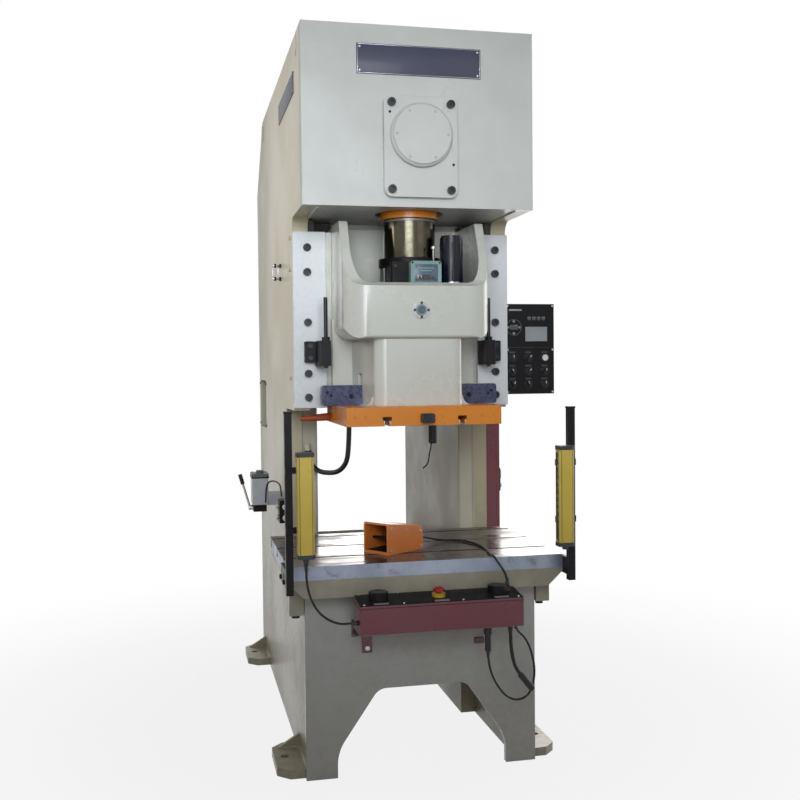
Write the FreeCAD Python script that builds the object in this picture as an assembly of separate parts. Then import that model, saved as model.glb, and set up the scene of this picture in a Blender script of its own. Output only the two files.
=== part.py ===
import FreeCAD, Part
import os
from math import acos, cos, degrees, hypot, pi, radians, sin, sqrt, tan

# Open-front stamping press with its slide at the top of the stroke. All sizes are in millimetres.
# X runs to the right, Y to the back, Z up. The pieces are drawn about the slide's centre line
# (x = 0, y = 0) on the floor (z = 0), and moved at the end so that the origin is the middle of
# the whole machine's outline on the floor.

# ---------------------------------------------------------------- frame
FRAME_WIDTH = 850.0
SIDE_PLATE = 60.0
REAR_Y = 1717.0
REAR_SLOPE_RUN = 370.0
REAR_SLOPE_DROP = 303.0
CROWN_FRONT_Y = -186.0
CROWN_RISE = 389.0
CROWN_FRONT_PLATE = 30.0
CROWN_FLOOR_PLATE = 40.0
CROWN_TOP_PLATE = 25.0
CROWN_OPENING_RADIUS = 128.0
COLUMN_FRONT_Y = 142.0
COLUMN_CORNER_RADIUS = 50.0
THROAT_DEPTH = 412.0
THROAT_BELOW_GIB = 10.0
THROAT_CORNER_RADIUS = 25.0
COLUMN_WIDTH = 60.0
COLUMN_WEB = 12.0
COLUMN_FLANGE = 25.0
COLUMN_REAR_Y = 1425.0
APRON_FRONT_Y = -159.0
APRON_PLATE = 25.0
APRON_OVERHANG = 7.0
ARCH_HALF_WIDTH = 318.0
ARCH_SHOULDER = 95.0
ARCH_TOP_HALF_WIDTH = 165.0
ARCH_HEIGHT = 315.0
ARCH_SHOULDER_RADIUS = 150.0
ARCH_TOP_RADIUS = 55.0
BACK_PLATE = 27.0
BACK_PLATE_LOW = 330.0
BACK_PLATE_HEIGHT = 270.0
COVER_SHEET = 5.0
COVER_ABOVE_BASE = 30.0
LOUVRE_COUNT = 9
LOUVRE_LENGTH = 240.0
LOUVRE_HEIGHT = 10.0
LOUVRE_PITCH = 40.0

WINDOW_FRONT_Y = 1350.0
WINDOW_LENGTH = 310.0
WINDOW_LOW = 1180.0
WINDOW_HEIGHT = 240.0
WINDOW_CORNER = 15.0

PAD_THICKNESS = 32.0
PAD_REACH = 106.0
PAD_LENGTH = 290.0
PAD_NOSE = 45.0
PAD_GUSSET = 16.0
PAD_GUSSET_HEIGHT = 85.0
ANCHOR_HOLE_RADIUS = 16.0
ANCHOR_OUT = 66.0
ANCHOR_FRONT_Y = 15.0
ANCHOR_REAR_Y = 1478.0

# ---------------------------------------------------------------- bed and bolster
BOLSTER_WIDTH = 1000.0
BOLSTER_FRONT_Y = -273.0
BOLSTER_DEPTH = 680.0
BOLSTER_THICKNESS = 49.0
BOLSTER_TOP = 795.0
BED_PLATE = 65.0
BED_CHAMFER_X = 56.0
BED_CHAMFER_Z = 52.0
LUG_WIDTH = 52.0
LUG_LENGTH = 78.0
LUG_DROP = 80.0
LUG_GAP = 3.0
T_STEM = 18.0
T_HEAD_WIDTH = 32.0
T_HEAD_HEIGHT = 14.0
T_STEM_DEPTH = 19.0
BOLSTER_SLOT_PITCH = 223.0
BOLSTER_SLOT_FIRST_Y = -104.0
BOLSTER_SLOT_COUNT = 3

# ---------------------------------------------------------------- guides
GIB_PLATE = 25.0
GIB_WIDTH = 124.0
GIB_OVERLAP = 12.0
GIB_HEIGHT = 671.0
GIB_BOLT_INSET = 53.0
GIB_BOLT_HEIGHTS = (41.0, 132.0, 327.0, 518.0, 611.0)
GUIDE_SIDE = 24.7
GUIDE_LIP = 78.0
GUIDE_TOP_GAP = 8.0
GUIDE_CLEARANCE = 0.3
BOLT_HEAD_RADIUS = 14.5
BOLT_HEAD_HEIGHT = 15.0
BOLT_SOCKET_FLATS = 14.0
BOLT_SOCKET_DEPTH = 8.0
BRACKET_SCREW_SCALE = 0.62

# ---------------------------------------------------------------- slide
STROKE = 160.0
SLIDE_PLATE_GAP = 16.5
SLIDE_PLATE_DEPTH = 460.0
OPEN_HEIGHT = 477.0
SLIDE_PLATE_THICKNESS = 68.0
SLIDE_SLOT_X = 138.0
SHANK_HOLE_RADIUS = 25.0
BODY_GAP = 26.0
BODY_FRONT_Y = -185.0
NECK_HEIGHT = 245.0
BODY_HEIGHT = 434.0
SLIDE_HEADROOM = 34.0
BODY_CORNER_RADIUS = 95.0
BODY_LOWER_RADIUS = 60.0
BODY_EDGE_RADIUS = 16.0
BODY_BACK_Y = 230.0
POCKET_SIDE_WALL = 33.0
POCKET_FRONT_WALL = 26.0
POCKET_REAR_WALL = 30.0
POCKET_BOTTOM = 115.0
POCKET_CORNER_RADIUS = 70.0
FRONT_WALL_RISE = 73.0
HORN_FRONT_Y = -38.0
HORN_FOOT_Y = -160.0
HORN_SWEEP_RADIUS = 60.0
NECK_FRONT_Y = -165.0
NECK_FRONT_HALF_WIDTH = 160.0
NECK_BACK_HALF_WIDTH = 204.0
NECK_CORNER_RADIUS = 45.0
SHOULDER_Y = 103.0
SHOULDER_GAP = 21.0
NECK_FLARE = 34.0

# ---------------------------------------------------------------- knock-out
BAR_OVERREACH = 21.0
BAR_HEIGHT = 75.0
BAR_THICKNESS = 44.0
BAR_FRONT_Y = -6.0
BAR_TRAVEL = 42.0
BAR_CORNER_RADIUS = 10.0
SLOT_CLEARANCE = 0.4
BRACKET_WIDTH = 86.0
BRACKET_BODY_WIDTH = 45.0
BRACKET_ABOVE_BAR = 30.6
BRACKET_HEIGHT = 94.0
BRACKET_FRONT_Y = 2.0
BRACKET_CUT_X = 8.0
BRACKET_CUT_Y = 22.0
BRACKET_FLANGE = 30.0
BRACKET_FLANGE_RISE = 14.0
BRACKET_SCREW_SPREAD = 46.0
BRACKET_SCREW_INSET = 20.0
STOP_SCREW_INSET = 16.0
STOP_SCREW_Y = 22.0
STOP_SCREW_RADIUS = 7.5
STOP_SCREW_LENGTH = 264.0
STOP_SCREW_FOOT = 8.0
STOP_NUT_FLATS = 26.0
STOP_NUT_HEIGHT = 14.0
STOP_SCREW_CLEARANCE = 0.08

# ---------------------------------------------------------------- crank and connecting rod
ROD_HEIGHT = 274.0
THROW = STROKE / 2
JOURNAL_RADIUS = 65.0
PIN_RADIUS = 80.0
PIN_LENGTH = 156.0
WEB_THICKNESS = 56.0
WEB_RADIUS = 104.0
SHAFT_END_Y = 505.0
BUSH_WALL = 15.0
BUSH_CLEARANCE = 0.05
FRONT_HUB_LENGTH = 16.0
HUB_RADIUS = 125.0
WALL_THICKNESS = 45.0
FRONT_WALL_Y = 300.0
REAR_WALL_Y = 700.0
WALL_BELOW_PINION = 124.0
BUSH_OVERHANG = 10.0
STRAP_RADIUS = 140.0
STRAP_WIDTH = 140.0
STRAP_LUG = 28.0
STRAP_LUG_RISE = 26.0
STRAP_BOLT_RADIUS = 14.0
STRAP_BOLT_RISE = 48.0
ROD_GAP = 34.0
ROD_NECK_RADIUS = 60.0
ROD_FOOT_RADIUS = 108.0
ROD_FOOT_HEIGHT = 32.0
ROD_FOOT_GAP = 11.0
ROD_TAPER = 100.0
SLEEVE_RADIUS = 97.0
SLEEVE_LENGTH = 340.0
SLEEVE_CLEARANCE = 0.06
SLEEVE_BORE_DEPTH = 230.0

# ---------------------------------------------------------------- gear train and flywheel
MODULE = 10.0
GEAR_SIDE_GAP = 35.0
PINION_TEETH = 16
PRESSURE_ANGLE = radians(25)
BACKLASH = 1.2
GEAR_Y = 400.0
GEAR_WIDTH = 80.0
GEAR_RIM = 38.0
GEAR_HUB_RADIUS = 110.0
GEAR_WEB = 30.0
GEAR_HOLES = 6
GEAR_HOLE_RADIUS = 50.0
PINION_SHAFT_RADIUS = 40.0
PINION_SHAFT_END_Y = 1215.0
BRAKE_RADIUS = 170.0
BRAKE_Y = 800.0
BRAKE_LENGTH = 80.0
FLYWHEEL_SIDE_GAP = 34.0
FLYWHEEL_Y = 960.0
FLYWHEEL_WIDTH = 130.0
FLYWHEEL_RIM = 60.0
FLYWHEEL_WEB = 40.0
FLYWHEEL_HUB_RADIUS = 95.0
FLYWHEEL_HOLES = 6
FLYWHEEL_HOLE_RADIUS = 30.0
CLUTCH_RADIUS = 200.0
CLUTCH_LENGTH = 90.0
BELT_COUNT = 3
BELT_PITCH = 30.0
BELT_WIDTH = 22.0
BELT_DEPTH = 14.0
BELT_GAP = 0.5
GROOVE_TAPER = 4.0
PULLEY_RADIUS = 75.0
PULLEY_BORE = 19.0
BELT_CENTRES = 534.0
MOTOR_Y = 1180.0
MOTOR_LENGTH = 390.0
MOTOR_RADIUS = 108.0
MOTOR_FIN = 14.0
MOTOR_FIN_THICKNESS = 5.0
MOTOR_FINS = 20
TERMINAL_REACH = 55.0
TERMINAL_LENGTH = 110.0
TERMINAL_RISE = 45.0
MOTOR_COWL = 70.0
MOTOR_BASE_RISE = 130.0
MOTOR_BASE = 18.0

# ---------------------------------------------------------------- front cover of the crank bearing
COVER_HALF_WIDTH = 135.0
COVER_BELOW = 218.0
COVER_ABOVE = 139.0
COVER_PLATE = 22.0
COVER_CORNER = 30.0
COVER_BOLT_X = 108.0
COVER_BOLT_INSET_Z = 26.0
BOSS_RADIUS = 113.0
BOSS_HEIGHT = 20.0
CAP_RADIUS = 104.0
CAP_HEIGHT = 7.0

# ---------------------------------------------------------------- die height adjustment
GEARBOX_HALF_WIDTH = 94.0
GEARBOX_FRONT_Y = -118.0
GEARBOX_BACK_Y = 116.0
GEARBOX_HEIGHT = 166.0
GEARBOX_COLLAR_RADIUS = 116.0
GEARBOX_COLLAR_HEIGHT = 18.0
COUNTER_X = 28.0
COUNTER_WIDTH = 114.0
COUNTER_HEIGHT = 88.0
COUNTER_DEPTH = 34.0
COUNTER_RISE = 78.0
ADJUSTER_X = 143.0
ADJUSTER_Y = -78.0
ADJUSTER_RADIUS = 42.0
ADJUSTER_HEIGHT = 266.0
ADJUSTER_BASE = 78.0
ADJUSTER_END_CAP = 8.0
PORT_RISE = 101.0
PORT_RADIUS = 31.0
PORT_THICKNESS = 6.0
PORT_PLUG_FLATS = 26.0
CLAMP_SIZE = 46.0
CLAMP_REACH = 30.0
CLAMP_RISE = 27.0
CLAMP_X = 6.0
CLAMP_SHAFT_RADIUS = 12.0

# ---------------------------------------------------------------- controls
PANEL_WIDTH = 205.0
PANEL_ABOVE_GIB = 40.0
PANEL_HEIGHT = 362.0
PANEL_FRONT_Y = 150.0
PANEL_DEPTH = 130.0
PANEL_FACE = 4.0
PANEL_GAP = 4.0
KNOB_RADIUS = 13.0
KNOB_HEIGHT = 22.0
KNOB_COLUMNS = (27.0, 94.0, 163.0)
KNOB_ROWS = (40.0, 92.0, 146.0)
DIAL_X = 34.0
DIAL_Z = 268.0
DIAL_RADIUS = 33.0
SCREEN_X = 82.0
SCREEN_Z = 212.0
SCREEN_WIDTH = 92.0
SCREEN_HEIGHT = 58.0
SCREEN_RIM = 4.0
BUTTON_TRAVEL = 5.0

CABINET_DEPTH = 175.0
CABINET_FRONT_Y = 820.0
CABINET_LENGTH = 580.0
CABINET_LOW = 640.0
CABINET_HEIGHT = 850.0
CABINET_SHEET = 4.0
DOOR_THICKNESS = 15.0
DOOR_GAP = 0.4
HINGE_RADIUS = 8.0
HINGE_LENGTH = 60.0
LATCH_IN = 22.0
LATCH_RISE = 251.0
LATCH_WIDTH = 24.0
LATCH_LENGTH = 110.0
LATCH_THICKNESS = 12.0

BOX_WIDTH = 580.0
BOX_FRONT_Y = -400.0
BOX_DEPTH = 124.0
BOX_BELOW_BED = 109.0
BOX_FRONT_HEIGHT = 104.0
BOX_BACK_HEIGHT = 118.0
BOX_EDGE_RADIUS = 8.0
BOX_X = 16.0
ARM_WIDTH = 36.0
ARM_PLATE = 6.0
ARM_DROP = 60.0
ARM_REACH = 50.0
ARM_INSETS = (10.0, 400.0)
PALM_INSET = 76.0
PALM_RADIUS = 22.0
PALM_GUARD_RADIUS = 34.0
PALM_GUARD_HEIGHT = 26.0
ESTOP_RADIUS = 20.0
ESTOP_BASE_RADIUS = 24.0
PRESS_TRAVEL = 6.0
STEM_RADIUS = 9.0

# ---------------------------------------------------------------- light curtains
POST_SIZE = 25.0
POST_OUT = 4.0
POST_Y = -345.0
POST_DROP = 80.0
POST_HEIGHT = 618.0
CURTAIN_INSET = 48.0
CURTAIN_Y = -412.0
CURTAIN_WIDTH = 56.0
CURTAIN_DEPTH = 46.0
CURTAIN_RISE = 55.0
CURTAIN_HEIGHT = 352.0
CURTAIN_CAP = 14.0
CURTAIN_CORNER = 7.0
CLAMP_HEIGHTS = (222.0, 424.0)
POST_ARM = 12.0
POST_ARM_HEIGHT = 62.0
POST_FOOT_DROP = 18.0
POST_FOOT_REACH = 130.0
CLAMP_HALF = 11.0
ARM_HALF = 16.0

# ---------------------------------------------------------------- lubrication
PUMP_OUT = 94.0
PUMP_Y = 670.0
PUMP_WIDTH = 68.0
PUMP_LENGTH = 110.0
PUMP_LOW = 898.0
PUMP_HEIGHT = 132.0
PUMP_LID = 12.0
PUMP_BASE = 32.0
LEVER_LENGTH = 128.0
LEVER_RADIUS = 5.0
LEVER_LEAN = radians(16)
LEVER_GRIP = 44.0
LEVER_GRIP_RADIUS = 8.5
DIVIDER_Y = 330.0
DIVIDER_LENGTH = 70.0
DIVIDER_RISE = 63.0
DIVIDER_HEIGHT = 92.0
DIVIDER_REACH = 42.0
OUTLET_RISES = (22.0, 66.0)
OUTLET_RADIUS = 8.0
OUTLET_LENGTH = 10.0

# ---------------------------------------------------------------- foot switch, standing on the bolster
PEDAL_BOX_X = -79.0
PEDAL_BOX_Y = -39.0
PEDAL_BOX_TURN = -53.0
PEDAL_BOX_WIDTH = 120.0
PEDAL_BOX_LENGTH = 200.0
PEDAL_BOX_HEIGHT = 116.0
PEDAL_BOX_REAR_HEIGHT = 88.0
PEDAL_FLOOR = 12.0
PEDAL_REAR_WALL = 34.0
PEDAL_WALL = 7.0
PEDAL_PIVOT_IN = 50.0
PEDAL_PIVOT_Z = 34.0
PEDAL_REACH = 112.0
SWITCH_GLAND_RADIUS = 12.0
SWITCH_GLAND_LENGTH = 18.0
SWITCH_GLAND_Z = 30.0
PEDAL_TILT = radians(9)
PEDAL_PIN_RADIUS = 5.0

# ---------------------------------------------------------------- hoses and leads
CORD_SIDES = 8
HOSE_RADIUS = 10.0
LEAD_RADIUS = 4.0
CONDUIT_RADIUS = 6.5
PILOT_RADIUS = 3.0
PLUG_RADIUS = 12.0
PLUG_LENGTH = 70.0

# ---------------------------------------------------------------- places that follow from the sizes
HALF_WIDTH = FRAME_WIDTH / 2
SIDE_INNER_X = HALF_WIDTH - SIDE_PLATE
COLUMN_INNER_X = SIDE_INNER_X - COLUMN_WIDTH
APRON_WIDTH = FRAME_WIDTH + 2 * APRON_OVERHANG
GIB_INNER_X = HALF_WIDTH - GIB_WIDTH
GIB_FRONT_Y = COLUMN_FRONT_Y - GIB_PLATE
GIB_BOLT_X = HALF_WIDTH - GIB_BOLT_INSET
FLANGE_HALF_WIDTH = SIDE_INNER_X - GUIDE_SIDE - GUIDE_CLEARANCE
GUIDE_LIP_INNER_X = FLANGE_HALF_WIDTH - GUIDE_LIP
BODY_HALF_WIDTH = GIB_INNER_X - BODY_GAP
POCKET_HALF_WIDTH = BODY_HALF_WIDTH - POCKET_SIDE_WALL
SHOULDER_HALF_WIDTH = GIB_INNER_X - SHOULDER_GAP
SLIDE_PLATE_WIDTH = 2 * (GIB_INNER_X - SLIDE_PLATE_GAP)
BRACKET_INNER_X = GIB_INNER_X
STOP_SCREW_X = BRACKET_INNER_X + STOP_SCREW_INSET
BAR_HALF_LENGTH = STOP_SCREW_X + BAR_OVERREACH
GEAR_TEETH = int(2 * (SIDE_INNER_X - GEAR_SIDE_GAP) / MODULE) - 2
GEAR_RADIUS = MODULE * GEAR_TEETH / 2
PINION_RADIUS = MODULE * PINION_TEETH / 2
FLYWHEEL_RADIUS = SIDE_INNER_X - FLYWHEEL_SIDE_GAP
PANEL_X = HALF_WIDTH + PANEL_GAP
CABINET_OUT = HALF_WIDTH + CABINET_DEPTH
HINGE_X = CABINET_OUT + 12.0
HINGE_Y = CABINET_FRONT_Y + CABINET_LENGTH + 4.0
POST_X = BOLSTER_WIDTH / 2 + POST_OUT
CURTAIN_X = POST_X - CURTAIN_INSET
PUMP_X = -HALF_WIDTH - PUMP_OUT

BED_TOP = BOLSTER_TOP - BOLSTER_THICKNESS
BED_LOW = BED_TOP - BED_PLATE
BOX_LOW = BED_LOW - BOX_BELOW_BED
BOX_LEFT = BOX_X - BOX_WIDTH / 2
BOX_RIGHT = BOX_X + BOX_WIDTH / 2
PALM_X = BOX_WIDTH / 2 - PALM_INSET
POST_LOW = BOLSTER_TOP - POST_DROP
CURTAIN_LOW = BOLSTER_TOP + CURTAIN_RISE
DIVIDER_LOW = BOLSTER_TOP + DIVIDER_RISE
SLIDE_PLATE_LOW = BOLSTER_TOP + OPEN_HEIGHT
SLIDE_PLATE_TOP = SLIDE_PLATE_LOW + SLIDE_PLATE_THICKNESS
CLAMP_Z = SLIDE_PLATE_LOW + CLAMP_RISE
GIB_LOW = SLIDE_PLATE_TOP - GIB_OVERLAP
THROAT_TOP = GIB_LOW - THROAT_BELOW_GIB
PANEL_LOW = GIB_LOW + PANEL_ABOVE_GIB
BAR_LOW = SLIDE_PLATE_TOP + SLOT_CLEARANCE
BRACKET_LOW = BAR_LOW + BAR_HEIGHT + BAR_TRAVEL + BRACKET_ABOVE_BAR
BODY_LOW = SLIDE_PLATE_TOP + NECK_HEIGHT
BODY_TOP = BODY_LOW + BODY_HEIGHT
PORT_Z = BODY_LOW + PORT_RISE
POCKET_FLOOR = BODY_LOW + POCKET_BOTTOM
FRONT_WALL_TOP = POCKET_FLOOR + FRONT_WALL_RISE
COUNTER_LOW = POCKET_FLOOR + COUNTER_RISE
ADJUSTER_TOP = POCKET_FLOOR + ADJUSTER_HEIGHT
CROWN_UNDERSIDE = BODY_TOP + SLIDE_HEADROOM
GUIDE_TOP = CROWN_UNDERSIDE - GUIDE_TOP_GAP
ROD_LOW = BODY_TOP + ROD_FOOT_GAP
ROD_TAPER_TOP = ROD_LOW + ROD_TAPER
SLEEVE_LOW = ROD_LOW - SLEEVE_LENGTH
CRANK_Z = ROD_LOW + ROD_HEIGHT
COVER_BOTTOM_Z = CRANK_Z - COVER_BELOW
COVER_TOP_Z = CRANK_Z + COVER_ABOVE
TOTAL_HEIGHT = CRANK_Z + CROWN_RISE
REAR_SLOPE_Y = REAR_Y - REAR_SLOPE_RUN
REAR_SLOPE_Z = TOTAL_HEIGHT - REAR_SLOPE_DROP
PINION_Z = CRANK_Z - GEAR_RADIUS - PINION_RADIUS
WALL_LOW = PINION_Z - WALL_BELOW_PINION
MOTOR_Z = PINION_Z - BELT_CENTRES
MOTOR_BASE_Z = MOTOR_Z + MOTOR_BASE_RISE
COVER_LOW = MOTOR_BASE_Z + COVER_ABOVE_BASE
PUMP_PIVOT = (PUMP_X - PUMP_WIDTH / 2 - 2.0, PUMP_Y, PUMP_LOW - PUMP_BASE / 2)


# ---------------------------------------------------------------- drawing helpers
def vec(x, y, z):
    return FreeCAD.Vector(x, y, z)


def box(x0, x1, y0, y1, z0, z1):
    return Part.makeBox(x1 - x0, y1 - y0, z1 - z0, vec(x0, y0, z0))


def rod_x(radius, x0, x1, y, z):
    return Part.makeCylinder(radius, x1 - x0, vec(x0, y, z), vec(1, 0, 0))


def rod_y(radius, y0, y1, x, z):
    return Part.makeCylinder(radius, y1 - y0, vec(x, y0, z), vec(0, 1, 0))


def rod_z(radius, z0, z1, x, y):
    return Part.makeCylinder(radius, z1 - z0, vec(x, y, z0), vec(0, 0, 1))


def rounded_face(corners, place):
    """Flat face through corners (u, v) or (u, v, radius); place turns (u, v) into a point."""
    starts, middles, ends = [], [], []
    for i, corner in enumerate(corners):
        u, v = corner[0], corner[1]
        radius = corner[2] if len(corner) > 2 else 0.0
        before, after = corners[i - 1], corners[(i + 1) % len(corners)]
        back = (before[0] - u, before[1] - v)
        ahead = (after[0] - u, after[1] - v)
        back = (back[0] / hypot(*back), back[1] / hypot(*back))
        ahead = (ahead[0] / hypot(*ahead), ahead[1] / hypot(*ahead))
        if radius == 0.0:
            starts.append((u, v))
            middles.append(None)
            ends.append((u, v))
            continue
        half = acos(back[0] * ahead[0] + back[1] * ahead[1]) / 2
        run = radius / tan(half)
        inward = (back[0] + ahead[0], back[1] + ahead[1])
        inward = (inward[0] / hypot(*inward), inward[1] / hypot(*inward))
        reach = radius / sin(half) - radius
        starts.append((u + back[0] * run, v + back[1] * run))
        middles.append((u + inward[0] * reach, v + inward[1] * reach))
        ends.append((u + ahead[0] * run, v + ahead[1] * run))
    edges = []
    for i, middle in enumerate(middles):
        if middle:
            edges.append(Part.Arc(place(*starts[i]), place(*middle), place(*ends[i])).toShape())
        tail, head = ends[i], starts[(i + 1) % len(corners)]
        if hypot(head[0] - tail[0], head[1] - tail[1]) > 1e-6:
            edges.append(Part.LineSegment(place(*tail), place(*head)).toShape())
    return Part.Face(Part.Wire(edges))


def side_profile(corners, x0, x1):
    return rounded_face(corners, lambda y, z: vec(x0, y, z)).extrude(vec(x1 - x0, 0, 0))


def front_profile(corners, y0, y1):
    return rounded_face(corners, lambda x, z: vec(x, y0, z)).extrude(vec(0, y1 - y0, 0))


def plan_profile(corners, z0, z1):
    return rounded_face(corners, lambda x, y: vec(x, y, z0)).extrude(vec(0, 0, z1 - z0))


def rectangle(u0, u1, v0, v1, radius=0.0):
    return [(u0, v0, radius), (u1, v0, radius), (u1, v1, radius), (u0, v1, radius)]


def cut_corners(u0, u1, v0, v1, corner):
    """Rectangle with its four corners cut off at 45 degrees."""
    return [(u0 + corner, v0), (u1 - corner, v0), (u1, v0 + corner), (u1, v1 - corner),
            (u1 - corner, v1), (u0 + corner, v1), (u0, v1 - corner), (u0, v0 + corner)]


def hexagon(flats, u=0.0, v=0.0):
    reach = flats / sqrt(3)
    return [(u + reach * cos(pi / 3 * k), v + reach * sin(pi / 3 * k)) for k in range(6)]


def fuse(first, *others):
    joined = first.fuse(list(others)) if others else first
    return joined.removeSplitter()


def cut(first, *others):
    return first.cut(list(others))


def mirrored(shape):
    return shape.mirror(vec(0, 0, 0), vec(1, 0, 0))


def both_sides(shape):
    return [shape, mirrored(shape)]


def group(solids):
    return Part.makeCompound(solids)


def ring_y(outer, inner, y0, y1, x, z):
    return cut(rod_y(outer, y0, y1, x, z), rod_y(inner, y0, y1, x, z))


def turned_y(steps, x, z):
    """Solid of revolution about a line along Y: steps is a list of (y, radius) corners."""
    outline = [(steps[0][0], 0.0)] + list(steps) + [(steps[-1][0], 0.0)]
    face = Part.Face(Part.makePolygon([vec(x + r, y, z) for y, r in outline + outline[:1]]))
    return face.revolve(vec(x, 0, z), vec(0, 1, 0), 360)


def turned_z(steps, x, y):
    """Solid of revolution about a vertical line: steps is a list of (z, radius) corners."""
    outline = [(steps[0][0], 0.0)] + list(steps) + [(steps[-1][0], 0.0)]
    face = Part.Face(Part.makePolygon([vec(x + r, y, z) for z, r in outline + outline[:1]]))
    return face.revolve(vec(x, y, 0), vec(0, 0, 1), 360)


def t_slot(across, mouth, into):
    """Corners of a T-slot seen along its run: mouth is the open face, into is +1 or -1."""
    deep = mouth + into * T_STEM_DEPTH
    end = deep + into * T_HEAD_HEIGHT
    half_stem, half_head = T_STEM / 2, T_HEAD_WIDTH / 2
    over = mouth - into
    return [(across - half_stem, over), (across - half_stem, deep), (across - half_head, deep),
            (across - half_head, end), (across + half_head, end), (across + half_head, deep),
            (across + half_stem, deep), (across + half_stem, over)]


def cord_section(radius, start, towards):
    """Many-sided section of a cord, square to its first run."""
    along = towards - start
    along.normalize()
    side = along.cross(vec(0, 1, 0)) if abs(along.y) < 0.9 else along.cross(vec(1, 0, 0))
    side.normalize()
    other = along.cross(side)
    turns = [2 * pi * (k + 0.5) / CORD_SIDES for k in range(CORD_SIDES)]
    corners = [start + side * (radius * cos(a)) + other * (radius * sin(a)) for a in turns]
    return Part.makePolygon(corners + corners[:1])


def tube(radius, points):
    """Cord along straight runs joined by tangent arcs, each as wide as its runs allow."""
    points = [vec(*p) for p in points]
    edges, bends, start = [], [], points[0]
    for before, corner, after in zip(points, points[1:], points[2:]):
        back, ahead = before - corner, after - corner
        short = min(back.Length, ahead.Length)
        half = back.getAngle(ahead) / 2
        run = 0.45 * short
        bend = run * tan(half)
        bends.append(bend)
        back.normalize()
        ahead.normalize()
        inward = back + ahead
        inward.normalize()
        arc_start, arc_end = corner + back * run, corner + ahead * run
        middle = corner + inward * (bend / sin(half) - bend)
        edges.append(Part.LineSegment(start, arc_start).toShape())
        edges.append(Part.Arc(arc_start, middle, arc_end).toShape())
        start = arc_end
    edges.append(Part.LineSegment(start, points[-1]).toShape())
    path = Part.Wire(edges)
    section = cord_section(radius, points[0], points[1])
    solid = path.makePipeShell([section], True, False)
    expected = Part.Face(section).Area * path.Length
    print("cord volume / expected %.4f, length %.0f, least bend %.0f"
          % (solid.Volume / expected, path.Length, min(bends)))
    return solid


# ---------------------------------------------------------------- frame plates
def anchor_pad(hole_y):
    """Foot outside the side plate, with its anchor hole and a gusset behind the hole."""
    inner, outer = HALF_WIDTH, HALF_WIDTH + PAD_REACH
    front, back = hole_y - PAD_LENGTH / 2, hole_y + PAD_LENGTH / 2
    pad = plan_profile([(inner, front), (outer - PAD_NOSE, front, 12), (outer, front + PAD_NOSE, 12),
                        (outer, back - PAD_NOSE, 12), (outer - PAD_NOSE, back, 12), (inner, back)],
                       0, PAD_THICKNESS)
    hole = rod_z(ANCHOR_HOLE_RADIUS, -1, PAD_THICKNESS + 1, inner + ANCHOR_OUT, hole_y)
    gusset_y = back - PAD_NOSE - PAD_GUSSET
    gusset = front_profile([(inner, PAD_THICKNESS - 1), (outer - 20, PAD_THICKNESS - 1),
                            (inner, PAD_GUSSET_HEIGHT)], gusset_y, gusset_y + PAD_GUSSET)
    return fuse(cut(pad, hole), gusset)


def side_plate():
    """Right C-shaped side plate, cut from one thick sheet, with its two feet welded on."""
    front = APRON_FRONT_Y + APRON_PLATE
    crown_edge = CROWN_FRONT_Y + CROWN_FRONT_PLATE
    profile = [(front, 0), (front, BED_LOW),
               (THROAT_DEPTH, BED_LOW), (THROAT_DEPTH, THROAT_TOP, THROAT_CORNER_RADIUS),
               (COLUMN_FRONT_Y, THROAT_TOP), (COLUMN_FRONT_Y, CROWN_UNDERSIDE, COLUMN_CORNER_RADIUS),
               (crown_edge, CROWN_UNDERSIDE), (crown_edge, TOTAL_HEIGHT),
               (REAR_SLOPE_Y, TOTAL_HEIGHT), (REAR_Y, REAR_SLOPE_Z), (REAR_Y, 0)]
    plate = side_profile(profile, SIDE_INNER_X, HALF_WIDTH)
    window = side_profile(rectangle(WINDOW_FRONT_Y, WINDOW_FRONT_Y + WINDOW_LENGTH, WINDOW_LOW,
                                    WINDOW_LOW + WINDOW_HEIGHT, WINDOW_CORNER),
                          SIDE_INNER_X - 1, HALF_WIDTH + 1)
    return fuse(cut(plate, window), anchor_pad(ANCHOR_FRONT_Y), anchor_pad(ANCHOR_REAR_Y))


def crown_front():
    back = CROWN_FRONT_Y + CROWN_FRONT_PLATE
    plate = box(-HALF_WIDTH, HALF_WIDTH, CROWN_FRONT_Y, back, CROWN_UNDERSIDE, TOTAL_HEIGHT)
    hub = rod_y(HUB_RADIUS, back - 1, back + FRONT_HUB_LENGTH, 0, CRANK_Z)
    bore = rod_y(JOURNAL_RADIUS + BUSH_WALL, CROWN_FRONT_Y - 1, back + FRONT_HUB_LENGTH + 1, 0, CRANK_Z)
    return cut(fuse(plate, hub), bore)


def crown_top():
    return box(-SIDE_INNER_X, SIDE_INNER_X, CROWN_FRONT_Y + CROWN_FRONT_PLATE, REAR_SLOPE_Y - COVER_SHEET,
               TOTAL_HEIGHT - CROWN_TOP_PLATE, TOTAL_HEIGHT)


def crown_floor():
    plate = box(-SIDE_INNER_X, SIDE_INNER_X, CROWN_FRONT_Y + CROWN_FRONT_PLATE, FRONT_WALL_Y,
                CROWN_UNDERSIDE, CROWN_UNDERSIDE + CROWN_FLOOR_PLATE)
    top = CROWN_UNDERSIDE + CROWN_FLOOR_PLATE
    return cut(plate, rod_z(CROWN_OPENING_RADIUS, CROWN_UNDERSIDE - 1, top + 1, 0, 0))


def bearing_wall(front, crank_too):
    back = front + WALL_THICKNESS
    wall = box(-SIDE_INNER_X, SIDE_INNER_X, front, back, WALL_LOW, TOTAL_HEIGHT - CROWN_TOP_PLATE)
    bores = [rod_y(PINION_SHAFT_RADIUS + BUSH_WALL, front - 1, back + 1, 0, PINION_Z)]
    if crank_too:
        bores.append(rod_y(JOURNAL_RADIUS + BUSH_WALL, front - 1, back + 1, 0, CRANK_Z))
    return cut(wall, *bores)


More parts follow.
